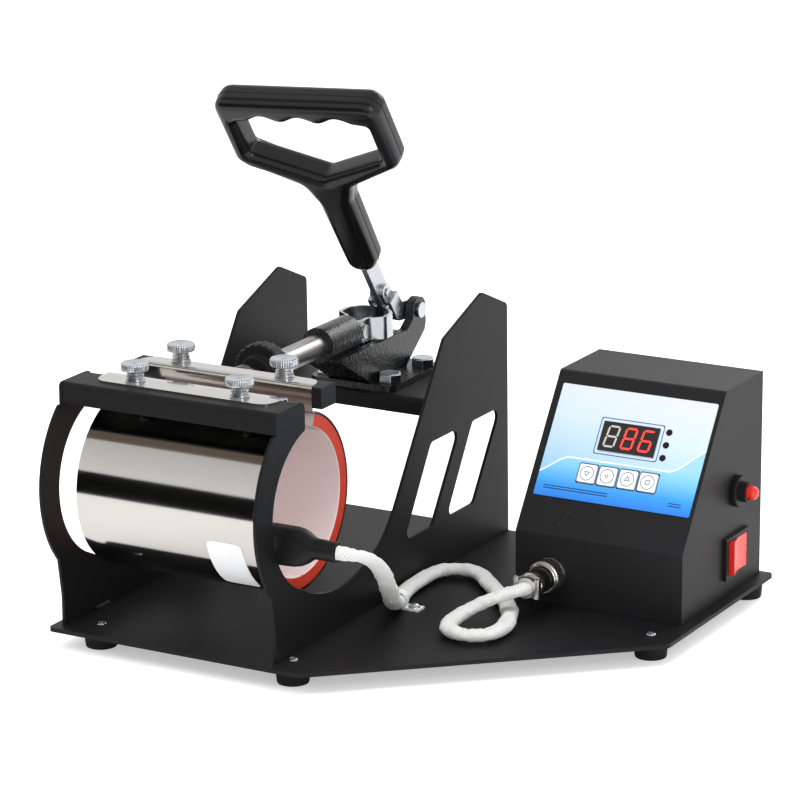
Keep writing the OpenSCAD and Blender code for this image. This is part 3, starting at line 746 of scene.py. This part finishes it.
def thumbScrew(x, y, floor, tail, turn):
    head = spun(bmesh.new(), [
        (0, 10.75), (3.2, 10.7), (5.6, 10.85), (6.9, 11.1), (7.5, 10.9), (8.0, 10.3), (8.0, 9.6), (8.0, 8.4),
        (8.0, 7.3), (7.6, 6.8), (6.6, 6.5), (4.9, 6.2), (4.4, 5.4), (4.4, 4.4), (0, 4.4),
    ], 160)
    knurl(head, 7.9, thumb["toothDepth"], thumb["rimTeeth"], 7.2, 10.4)
    neck = spun(bmesh.new(), [
        (0, 4.5), (4.6, 4.5), (5.0, 4.1), (5.0, 3.2), (4.4, 2.8), (4.4, 2.4), (5.3, 2.1), (5.3, 1.1),
        (4.9, 0.6), (5.8, 0.5), (5.8, 0.12), (2.5, 0.12), (2.5, tail - floor), (0, tail - floor),
    ], 48)
    parts = [head, neck]
    for part in parts:
        put(part, at(x, y, floor), Matrix.Rotation(radians(turn), 3, "Z"))
    mark = crossSlot(turn, 0)
    put(mark, at(x, y, floor + 10.72))
    return parts + [mark]


bandTop = heater["barTop"] + heater["stripThickness"]
for name, body, node, y, foot, turns in (
    ("frontThumbScrews", "frame", "front_thumbscrews", 21.5, thumb["frontFoot"], (20, 65)),
    ("rearThumbScrews", "press_head", "rear_thumbscrews", 68.5, thumb["rearFoot"], (50, 5)),
):
    parts = []
    for x, turn in zip(thumb["across"], turns):
        parts += thumbScrew(x, y, bandTop, foot, turn)
    finished(name, joined(parts), zinc, body, [node], 32)


def hexBolt(x, y, z, turn):
    # a chamfered hexagon head on a washer
    head = bmesh.new()
    bmesh.ops.create_cone(head, cap_ends=True, segments=6, radius1=7.5 * mm, radius2=7.5 * mm, depth=5.0 * mm)
    put(head, Vector((0, 0, 2.6 * mm)))
    crown = [e for e in head.edges if all(v.co.z > 4 * mm for v in e.verts)]
    roundOver(head, crown, 0.8, 2, 0.4)
    corners = [e for e in head.edges if abs(e.verts[0].co.z - e.verts[1].co.z) > 2 * mm]
    roundOver(head, corners, 0.4, 2)
    dish = spun(bmesh.new(), [(0, 4.92), (3.0, 4.95), (5.2, 5.2), (5.5, 5.12), (5.5, 5.0), (0, 4.7)], 40)
    parts = [head, dish]
    for part in parts:
        put(part, at(x, y, z), Matrix.Rotation(radians(turn), 3, "Z"))
    return parts


bolts = {
    "across": (50, 92),
    "along": (210.5, 250.5),
}
boltLow, boltHigh = boxOf("clamp_bolts")
boltParts = []
for i, x in enumerate(bolts["across"]):
    for j, y in enumerate(bolts["along"]):
        boltParts += hexBolt(x, y, boltHigh.z - 5.3, 28 + 4 * i - 3 * j)
        shank = spun(bmesh.new(), [(0, 0), (3.6, 0), (4.0, 0.5), (4.0, 14.6), (0, 14.6)], 32)
        put(shank, at(x, y, boltLow.z))
        boltParts.append(shank)
finished("shelfBolts", joined(boltParts), zinc, "frame", ["clamp_bolts"], 30)

pressureKnob = {
    "flutes": 22,
    "fluteDepth": 0.8,
    "middle": (71, 146),
}


def makeKnob():
    bm = spun(bmesh.new(), [
        (0, 92.2), (8.6, 92.2), (9.6, 92.6), (10, 93.4), (10, 96), (10.8, 97), (15.2, 97.1), (16.2, 97.6),
        (16.5, 98.6), (16.5, 100.5), (16.5, 103.5), (16.5, 105.4), (16.2, 106.4), (15.2, 106.9),
        (12.4, 107.1), (11.6, 107.6), (9.6, 109.4), (7.4, 111.0), (6.8, 111.2), (0, 111.2),
    ], 176)
    knurl(bm, 15.9, pressureKnob["fluteDepth"], pressureKnob["flutes"], 97.4, 106.6)
    put(bm, at(pressureKnob["middle"][0], 0, pressureKnob["middle"][1]), alongY)
    return finished("pressureKnob", bm, mattBlack, "knob", ["pressure_knob"], 32)


makeKnob()
print("screws and knob done")


# ---- grip ----

grip = {
    "lean": 35.0,
    "turn": 4.5,
    "halfWidth": 52.5,
    "depth": 19.0,
    "roundOver": 6.2,
    "pivot": (71, 246.5, 148.5),
}


def roundedLoop(points):
    # points (a, b, corner radius) of a closed outline, with each corner rounded
    steps = 7
    loop = []
    count = len(points)
    for i, (x, y, r) in enumerate(points):
        q = Vector((x, y))
        u = (Vector(points[i - 1][:2]) - q).normalized()
        v = (Vector(points[(i + 1) % count][:2]) - q).normalized()
        if r == 0:
            loop.append(q)
            continue
        half = u.angle(v) / 2
        middle = q + (u + v).normalized() * r / sin(half)
        a = q + u * r / (sin(half) / cos(half)) - middle
        turn = a.angle_signed(q + v * r / (sin(half) / cos(half)) - middle)
        loop += [middle + Matrix.Rotation(-turn * k / steps, 2) @ a for k in range(steps + 1)]
    return loop


def flatPiece(loops, thickness, edge, steps):
    # outlines filled and thickened, with every rim rounded over
    data = bpy.data.curves.new("outline", "CURVE")
    data.dimensions = "2D"
    data.fill_mode = "BOTH"
    data.extrude = (thickness / 2 - edge) * mm
    data.bevel_depth = edge * mm
    data.bevel_resolution = steps
    data.offset = -edge * mm
    for loop in loops:
        line = data.splines.new("POLY")
        line.points.add(len(loop) - 1)
        for point, (x, y) in zip(line.points, loop):
            point.co = (x * mm, y * mm, 0, 1)
        line.use_cyclic_u = True
    holder = bpy.data.objects.new("outline", data)
    mesh = bpy.data.meshes.new_from_object(holder)
    bm = bmesh.new()
    bm.from_mesh(mesh)
    bmesh.ops.remove_doubles(bm, verts=bm.verts, dist=1e-6)
    bmesh.ops.recalc_face_normals(bm, faces=bm.faces)
    bpy.data.objects.remove(holder)
    bpy.data.curves.remove(data)
    bpy.data.meshes.remove(mesh)
    return bm


def gripLoops(grow=0.0):
    w = grip["halfWidth"] + grow
    outer = roundedLoop([
        (-w, 183 + grow, 9), (w, 183 + grow, 9), (w, 133, 8), (16, 114 - grow, 9), (10.6 + grow, 100, 12),
        (9.2 + grow, 42 - grow, 8.4), (-9.2 - grow, 42 - grow, 8.4), (-10.6 - grow, 100, 12),
        (-16, 114 - grow, 9), (-w, 133, 8),
    ])
    inner = w - 10.5
    hole = roundedLoop([(inner, 165, 2), (inner, 138, 4), (0, 121, 4), (-inner, 138, 4), (-inner, 165, 2)])
    scallops = [Vector((a, 167.6 + 2.0 * cos(radians(a * 15)))) for a in range(-36, 37, 2)]
    return [outer, scallops + hole]


onHandle = Matrix.Translation(at(*grip["pivot"])) @ Matrix.Rotation(radians(grip["lean"]), 4, "X")
gripStand = onHandle @ Matrix.Rotation(radians(grip["turn"]), 4, "Z") @ Matrix.Rotation(radians(90), 4, "X")


def makeGrip():
    body = flatPiece(gripLoops(), grip["depth"], grip["roundOver"], 5)
    seam = flatPiece(gripLoops(0.22), 0.5, 0.12, 1)
    whole = joined([body, seam])
    bmesh.ops.transform(whole, matrix=gripStand, verts=whole.verts)
    return finished("moldedGrip", whole, glossBlack, "lever", ["handle_grip"], 40)


makeGrip()
print("grip done")


# ---- boot, connector, switch and button ----


def loft(sections):
    # rings across X: x, middle y, middle z, half width y, half height z, squareness
    bm = bmesh.new()
    rings = []
    for x, y, z, w, h, square in sections:
        ring = bmesh.ops.create_circle(bm, segments=40, radius=1.0)["verts"]
        for vert in ring:
            a = atan2(vert.co.y, vert.co.x)
            c, s = cos(a), sin(a)
            across = w * abs(c) ** square * (1 if c > 0 else -1)
            vert.co = at(x, y + across, z + h * abs(s) ** square * (1 if s > 0 else -1))
        rings.append([e for e in bm.edges if e.verts[0] in ring and e.verts[1] in ring])
    for first, second in zip(rings, rings[1:]):
        bmesh.ops.bridge_loops(bm, edges=first + second)
    bmesh.ops.holes_fill(bm, edges=[e for e in bm.edges if e.is_boundary], sides=0)
    bmesh.ops.recalc_face_normals(bm, faces=bm.faces)
    return bm


def makeBoot():
    sections = [
        (128.75, 8.9, 79, 5.6, 10.4, 0.55), (129.4, 8.9, 79, 6.0, 11.0, 0.5), (140, 8.9, 79, 6.0, 11.0, 0.5),
        (148, 8.9, 79.2, 6.0, 10.9, 0.55), (152, 8.9, 79.4, 6.0, 10.3, 0.65),
        (155.5, 8.7, 79.7, 5.95, 9.0, 0.8),
        (158, 8.5, 79.9, 5.9, 7.4, 0.95), (159.6, 8.5, 80, 5.8, 6.3, 1), (161, 8.5, 80, 5.7, 5.8, 1),
        (167, 8.5, 80, 5.6, 5.7, 1), (173, 8.5, 80, 5.6, 5.7, 1), (173.7, 8.45, 80, 5.4, 5.5, 1),
        (174, 8.4, 80, 5.0, 5.0, 1),
    ]
    return finished("leadBoot", loft(sections), bootRubber, "frame", ["lead_boot"], 45)


bootRubber = mouldedRubber("boot rubber", (0.0055, 0.0055, 0.006), 0.36)
makeBoot()

plug = {"x": 224, "z": 31}


def alongPlug(profile, steps=72, teeth=None):
    bm = spun(bmesh.new(), profile, steps)
    if teeth:
        knurl(bm, teeth["from"], teeth["depth"], teeth["count"], teeth["low"], teeth["high"])
    put(bm, at(plug["x"], 0, plug["z"]), alongY)
    return bm


def makeConnector():
    saddle = alongPlug([
        (4.3, 131), (5.6, 131), (6.3, 131.5), (6.3, 135.4), (5.7, 135.9), (5.7, 136.3), (7.2, 136.5),
        (7.6, 137), (7.6, 140.4), (7.2, 140.9), (0, 140.9), (0, 136), (4.3, 136), (4.3, 131),
    ])
    parts = [saddle]
    for side in (-1, 1):
        lug = bmesh.new()
        bmesh.ops.create_cube(lug, size=1.0)
        bmesh.ops.scale(lug, vec=(3.2 * mm, 4 * mm, 12 * mm), verts=lug.verts)
        roundOver(lug, lug.edges[:], 0.7, 3)
        put(lug, at(plug["x"] + side * 6.6, 133, plug["z"]))
        parts.append(lug)
        screw = spun(bmesh.new(), [(0, 0), (1.5, 0), (1.5, 0.7), (1.2, 1.0), (0, 1.0)], 24)
        put(screw, at(plug["x"] + side * 6.6, 133, plug["z"] + 5.1))
        parts.append(screw)
    finished("cordGrip", joined(parts), nickel, "frame", ["plug_clamp"], 35)
    ring = alongPlug([
        (7.6, 150.3), (8.4, 150.3), (8.9, 150.7), (8.9, 151.8), (9.5, 152.2), (9.9, 152.7), (9.9, 154),
        (9.9, 156), (9.9, 158), (9.9, 158.9), (9.4, 159.4), (8.2, 159.5), (7.6, 159.5), (7.6, 150.3),
    ], 192, {"from": 9.6, "depth": 0.35, "count": 48, "low": 152.5, "high": 159.1})
    finished("couplingRing", ring, nickel, "plug_ring", ["coupling_ring"], 30)


makeConnector()

resetButton = at(306.3, 233.2, 73.0)


def makeButton():
    nut = spun(bmesh.new(), [
        (6.02, 0.1), (8.9, 0.1), (9.3, 0.5), (9.3, 1.4), (9.3, 2.6), (9.3, 3.4), (8.8, 3.9), (7.0, 4.0),
        (6.02, 4.0), (6.02, 0.1),
    ], 180)
    knurl(nut, 9.0, 0.4, 36, 0.3, 3.7)
    put(nut, resetButton, alongX)
    finished("buttonNut", nut, mattBlack, "frame", ["button_nut"], 35)
    cap = spun(bmesh.new(), [
        (0, 2.2), (3.8, 2.2), (4.0, 2.6), (4.0, 10.8), (3.8, 11.9), (3.2, 12.9), (2.2, 13.6), (1.1, 13.9),
        (0, 13.98),
    ], 48)
    put(cap, resetButton, alongX)
    finished("buttonCap", cap, redPlastic, "reset_button", ["button_cap"], 40)


makeButton()
print("boot, connector and button done")


# ---- control panel ----

panel = {
    "foot": (162.6, 53.5),  # y and z of the crease below the panel
    "brow": (218.4, 135.4),
    "film": (205.8, 22.6, 304.0, 90.9),
    "window": (237.9, 53.9, 273.3, 71.7),
    "keys": {"key_down": 235.9, "key_mode": 248.6, "key_up": 261.4, "key_set": 274.1},
    "keyUp": 39.1,
    "keyWidth": 11.0,
    "swoosh": 47.4,
    "lamps": (54.8, 62.5, 70.2),
    "lampX": 278.8,
}
panelTilt = atan2(panel["brow"][1] - panel["foot"][1], panel["brow"][0] - panel["foot"][0])
onPanel = Matrix.Translation(at(0, *panel["foot"])) @ Matrix.Rotation(panelTilt, 4, "X")


def panelAxes(f):
    # across and up the sloping panel, in mm
    x, y, z = f.axes()
    foot = at(0, *panel["foot"])
    across = (x - foot.x) * 1000
    up = ((y - foot.y) * cos(panelTilt) + (z - foot.z) * sin(panelTilt)) * 1000
    return across, up


def boxMask(f, across, up, box, grow):
    # 1 inside a rounded box, 0 outside
    x0, y0, x1, y1 = box
    dx = f.do("MAXIMUM", f.do("ABSOLUTE", across - (x0 + x1) / 2) - ((x1 - x0) / 2 + grow - 1.4), 0.0)
    dy = f.do("MAXIMUM", f.do("ABSOLUTE", up - (y0 + y1) / 2) - ((y1 - y0) / 2 + grow - 1.4), 0.0)
    reach = f.do("SQRT", dx * dx + dy * dy)
    return 1 - f.between(reach, 1.4 - 0.12, 1.4 + 0.12)


def panelFilm():
    f = Finish("printed panel film")
    across, up = panelAxes(f)
    rise = f.node("ShaderNodeMapRange", {"interpolation_type": "SMOOTHSTEP"},
                  {"Value": across, "From Min": 202.0, "From Max": 223.0, "To Min": -11.5, "To Max": 0.0})
    lift = f.node("ShaderNodeMapRange", {"interpolation_type": "SMOOTHSTEP"},
                  {"Value": across, "From Min": 284.0, "From Max": 309.0, "To Min": 0.0, "To Max": 16.5})
    wave = rise + lift + panel["swoosh"]
    line = 1 - f.between(f.do("ABSOLUTE", up - wave), 0.32, 0.55)
    below = up < wave
    sky = f.node("ShaderNodeValToRGB", {"stops": [
        (0.0, (0.30, 0.52, 0.76)), (0.25, (0.42, 0.60, 0.79)), (0.6, (0.56, 0.66, 0.75)),
        (1.0, (0.62, 0.655, 0.69)),
    ]}, {0: f.between(up + (across - 255) * 0.12, 36.0, 90.0)}, "Color")
    sea = f.node("ShaderNodeValToRGB", {"stops": [
        (0.0, (0.004, 0.17, 0.66)), (0.3, (0.02, 0.28, 0.74)), (0.7, (0.17, 0.50, 0.80)),
        (1.0, (0.30, 0.58, 0.80)),
    ]}, {0: f.between(up, 23.0, 50.0)}, "Color")
    dots = f.do("SINE", (across + up) * (tau / 2.2)) * f.do("SINE", (across - up) * (tau / 2.2))
    ground = f.blend(below, sky, sea)
    ground = f.blend(f.between(dots, 0.1, 0.9) * 0.22, ground, (0.16, 0.36, 0.66))
    ground = f.blend(line, ground, (0.86, 0.90, 0.93))
    frameOut = boxMask(f, across, up, panel["window"], 2.3)
    frameIn = boxMask(f, across, up, panel["window"], 1.75)
    ground = f.blend(frameOut, ground, (0.012, 0.03, 0.09))
    ground = f.blend(frameIn, ground, (0.55, 0.66, 0.78))
    for x in panel["keys"].values():
        half = panel["keyWidth"] / 2
        key = (x - half, panel["keyUp"] - half, x + half, panel["keyUp"] + half)
        ground = f.blend(boxMask(f, across, up, key, 0.75), ground, (0.012, 0.03, 0.09))
    for x0, x1 in ((211, 251.5), (289.5, 297.5)):
        middle = f.do("ABSOLUTE", f.do("ABSOLUTE", up - 28.3) - 0.75)
        inside = (across > x0) * (across < x1)
        ground = f.blend((1 - f.between(middle, 0.26, 0.36)) * inside, ground, (0.006, 0.02, 0.10))
    for lampUp in panel["lamps"]:
        dx, dy = across - panel["lampX"], up - lampUp
        ring = f.do("SQRT", dx * dx + dy * dy)
        ground = f.blend(ring < 2.0, ground, (0.01, 0.012, 0.02))
    f.set(Base_Color=ground, Roughness=0.34 + f.noise(400, 2) * 0.08, Specular_IOR_Level=0.5)
    f.bumped(f.noise(1400, 2), 0.1, 0.03)
    return f.material


film = panelFilm()
softened("panelFilm", "panel_overlay", 0.12, film, "frame", "panel_film", 1)


def smokedWindow():
    f = Finish("smoked acrylic window")
    haze = f.noise(130, 2)
    f.set(Base_Color=f.blend(haze, (0.007, 0.006, 0.007), (0.014, 0.011, 0.012)))
    f.set(Roughness=0.09 + haze * 0.05, Specular_IOR_Level=0.5)
    f.bumped(haze, 0.02, 0.02)
    return f.material


def lit(name, tone, strength, body):
    f = Finish(name)
    core = f.noise(900, 1)
    f.set(Base_Color=f.blend(core, body, [min(1, c * 1.15) for c in body]), Roughness=0.35 + core * 0.1)
    f.set(Emission_Color=f.blend(core, tone, [c * 0.85 for c in tone]), Emission_Strength=strength)
    return f.material


softened("displayWindow", "display_window", 0.3, smokedWindow(), "frame", "dark_window")

digits = {
    "height": 12.2,
    "width": 6.4,
    "stroke": 1.15,
    "slant": 0.12,
    "middle": 62.8,
    "at": (245.0, 255.9, 266.7),
    "shapes": ("abcdefg", "abcdefg", "acdefg"),
    "lift": 1.49,  # just above the window
}


def segment(width, stroke):
    # one bar with pointed ends, lying along X
    half, s = width / 2 - 0.18, stroke / 2
    return [(-half, 0), (-half + s, s), (half - s, s), (half, 0), (half - s, -s), (-half + s, -s)]


def makeDigits():
    h, w, s = digits["height"] / 2, digits["width"], digits["stroke"]
    bars = {  # middle x, middle y, upright
        "a": (0, h, False), "b": (w / 2, h / 2, True), "c": (w / 2, -h / 2, True), "d": (0, -h, False),
        "e": (-w / 2, -h / 2, True), "f": (-w / 2, h / 2, True), "g": (0, 0, False),
    }
    red = lit("lit segments", (1.0, 0.035, 0.02), 1.3, (0.75, 0.03, 0.02))
    # the unlit segments carry a faint painted glow: emission that stands in for light falling on them
    pale = lit("unlit segments painted glow", (0.5, 0.46, 0.42), 0.12, (0.42, 0.40, 0.37))
    for place, (middle, shape) in enumerate(zip(digits["at"], digits["shapes"])):
        bm = bmesh.new()
        for letter in shape:
            x, y, upright = bars[letter]
            loop = segment(h if upright else w, s)
            points = [(-b, a) if upright else (a, b) for a, b in loop]
            verts = []
            for a, b in points:
                up = y + b
                verts.append(bm.verts.new(onPanel @ (Vector(
                    (middle + x + a + up * digits["slant"], digits["middle"] + up, digits["lift"])) * mm)))
            bm.faces.new(verts)
        bmesh.ops.recalc_face_normals(bm, faces=bm.faces)
        bmesh.ops.solidify(bm, geom=bm.faces[:], thickness=0.05 * mm)
        bmesh.ops.recalc_face_normals(bm, faces=bm.faces)
        # the first place is unlit, its segments showing only their faint painted glow
        glow = pale if place == 0 else red
        finished("digit%d" % (place + 1), bm, glow, "frame", weighted=False)


makeDigits()


def keyFilm():
    f = Finish("white key film")
    cloud = f.noise(200, 2)
    f.set(Base_Color=f.blend(cloud, (0.80, 0.82, 0.83), (0.88, 0.89, 0.90)), Roughness=0.34 + cloud * 0.08)
    f.bumped(f.noise(1200, 2), 0.08, 0.03)
    return f.material


def inkBlack():
    f = Finish("dark ink")
    cloud = f.noise(500, 2)
    f.set(Base_Color=f.blend(cloud, (0.012, 0.016, 0.03), (0.03, 0.035, 0.055)), Roughness=0.42 + cloud * 0.1)
    return f.material


keySkin = keyFilm()
ink = inkBlack()


def outlineRing(sides, radius, width, turn=0.0):
    bm = bmesh.new()
    bmesh.ops.create_circle(bm, cap_ends=True, segments=sides, radius=radius * mm)
    bmesh.ops.rotate(bm, cent=(0, 0, 0), matrix=Matrix.Rotation(radians(turn), 3, "Z"), verts=bm.verts)
    bmesh.ops.inset_region(bm, faces=bm.faces[:], thickness=width * mm, use_even_offset=True,
                           use_boundary=True)
    inner = min(bm.faces, key=lambda face: sum(v.co.length for v in face.verts) / len(face.verts))
    bmesh.ops.delete(bm, geom=[inner], context="FACES_ONLY")
    return bm


def makeKeys():
    nodes = {"key_down": "key_down", "key_mode": "key_mode", "key_up": "key_up_value", "key_set": "key_set"}
    symbols = {  # sides, radius, turn
        "key_down": (3, 2.1, 180), "key_mode": (24, 1.0, 0), "key_up": (3, 2.1, 0), "key_set": (4, 2.0, 45),
    }
    for name, x in panel["keys"].items():
        title = name.replace("_", " ").title().replace(" ", "")
        softened(title + "Pad", nodes[name], 0.5, keySkin, name, "key_film")
        sides, radius, turn = symbols[name]
        whole = joined([outlineRing(48, 4.3, 0.42), outlineRing(sides, radius, 0.42, turn)])
        bmesh.ops.solidify(whole, geom=whole.faces[:], thickness=0.05 * mm)
        bmesh.ops.recalc_face_normals(whole, faces=whole.faces)
        place = Matrix.Translation(Vector((x, panel["keyUp"], 1.43)) * mm)
        bmesh.ops.transform(whole, matrix=onPanel @ place, verts=whole.verts)
        finished(title + "Mark", whole, ink, name, weighted=False)


makeKeys()
print("control panel done")


# ---- paper label on the band ----

label = {"from": 194.0, "to": 236.0, "left": 97.0, "right": 120.0, "corner": 3.5, "lift": 0.12}


def makeLabel():
    # a slip of paper wrapped round the band's lower front, with round corners
    bm = bmesh.new()
    r = heater["bandOuter"] + label["lift"]
    steps, columns, corner = 40, 12, label["corner"]
    middle, half = (label["left"] + label["right"]) / 2, (label["right"] - label["left"]) / 2
    span = radians(label["to"] - label["from"])
    rows = []
    for i in range(steps + 1):
        a = radians(label["from"]) + span * i / steps
        y, z = heater["hubY"] + r * cos(a), heater["hubZ"] + r * sin(a)
        short = max(0.0, corner - r * span * min(i, steps - i) / steps)
        wide = half - corner + sqrt(corner ** 2 - short ** 2)
        across = [middle + wide * (2 * k / columns - 1) for k in range(columns + 1)]
        rows.append([bm.verts.new(at(x, y, z)) for x in across])
    for first, second in zip(rows, rows[1:]):
        for k in range(columns):
            bm.faces.new((first[k], first[k + 1], second[k + 1], second[k]))
    bmesh.ops.recalc_face_normals(bm, faces=bm.faces)
    piece = finished("paperLabel", bm, paperLabel(), "frame", weighted=False)
    wall = piece.modifiers.new("paper", "SOLIDIFY")
    wall.thickness = 0.1 * mm
    wall.offset = 0
    return piece


makeLabel()


# ---- studio ----


def makeStudio():
    f = Finish("pale studio floor")
    f.set(Base_Color=f.blend(f.noise(3, 2), (0.86, 0.86, 0.86), (0.88, 0.88, 0.88)))
    f.set(Roughness=0.6 + f.noise(6, 2) * 0.05)
    seen = f.node("ShaderNodeLightPath", out="Is Camera Ray")
    f.set(Emission_Color=f.blend(seen, (0.1, 0.1, 0.1), (0.42, 0.42, 0.42)), Emission_Strength=1.0)
    bm = bmesh.new()
    bmesh.ops.create_grid(bm, x_segments=1, y_segments=1, size=6.0)
    floor = linked("floor", bm, f.material)


def softLight(name, place, target, size, power, mirrored=True):
    data = bpy.data.lights.new(name, "AREA")
    data.shape = "RECTANGLE"
    data.size, data.size_y = size
    data.energy = power
    light = bpy.data.objects.new(name, data)
    light.location = place
    light.visible_glossy = mirrored
    light.rotation_mode = "QUATERNION"
    light.rotation_quaternion = (Vector(target) - Vector(place)).to_track_quat("-Z", "Y")
    bpy.context.scene.collection.objects.link(light)


def darkCard(name, place, target, size, glow=(0.0, 0.0, 0.0)):
    # a dark flag that only reflections see
    f = Finish(name)
    f.set(Base_Color=f.blend(f.noise(3, 2), (0.002, 0.002, 0.002), (0.004, 0.004, 0.004)), Roughness=0.9)
    f.set(Specular_IOR_Level=0.0, Emission_Color=(*glow, 1), Emission_Strength=1.0)
    bm = bmesh.new()
    bmesh.ops.create_grid(bm, x_segments=1, y_segments=1, size=0.5)
    bmesh.ops.scale(bm, vec=(size[0], size[1], 1), verts=bm.verts)
    turn = (Vector(target) - Vector(place)).to_track_quat("-Z", "Y").to_matrix()
    put(bm, Vector(place), turn)
    card = linked(name, bm, f.material)
    card.visible_camera = card.visible_diffuse = card.visible_shadow = False


makeStudio()
softLight("overhead", (0.1, -0.1, 1.7), (0, 0, 0.1), (1.6, 1.2), 17, False)
softLight("leftFront", (-1.3, -1.5, 1.9), (0, 0, 0.12), (1.3, 0.9), 16, False)
softLight("rightFront", (1.6, -1.1, 1.0), (0.05, 0, 0.12), (0.7, 1.2), 9)
softLight("back", (0.3, 1.7, 1.2), (0, 0, 0.15), (1.6, 0.8), 14)
darkCard("leftFlag", (-1.25, -2.0, 0.3), (0, 0, 0.25), (3.4, 0.6))
darkCard("floorFlag", (-0.9, -1.25, 0.004), (-0.9, -1.25, 1.0), (3.4, 1.5))
darkCard("highFlag", (-0.5, -0.72, 1.62), (-0.5, -0.72, 0), (3.4, 0.7), (0.15, 0.125, 0.1))
world = bpy.data.worlds.new("studio air")
world.use_nodes = True
air = world.node_tree
rise = air.nodes.new("ShaderNodeSeparateXYZ")
fade = air.nodes.new("ShaderNodeMapRange")
for name, value in (("From Min", 0.2), ("From Max", 0.75), ("To Min", 1.0), ("To Max", 0.72)):
    fade.inputs[name].default_value = value
air.links.new(air.nodes.new("ShaderNodeTexCoord").outputs["Generated"], rise.inputs[0])
air.links.new(rise.outputs["Z"], fade.inputs["Value"])
air.links.new(fade.outputs[0], air.nodes["Background"].inputs["Strength"])
air.nodes["Background"].inputs["Color"].default_value = (1, 1, 1, 1)
bpy.context.scene.world = world
bpy.context.scene.view_settings.view_transform = "Standard"
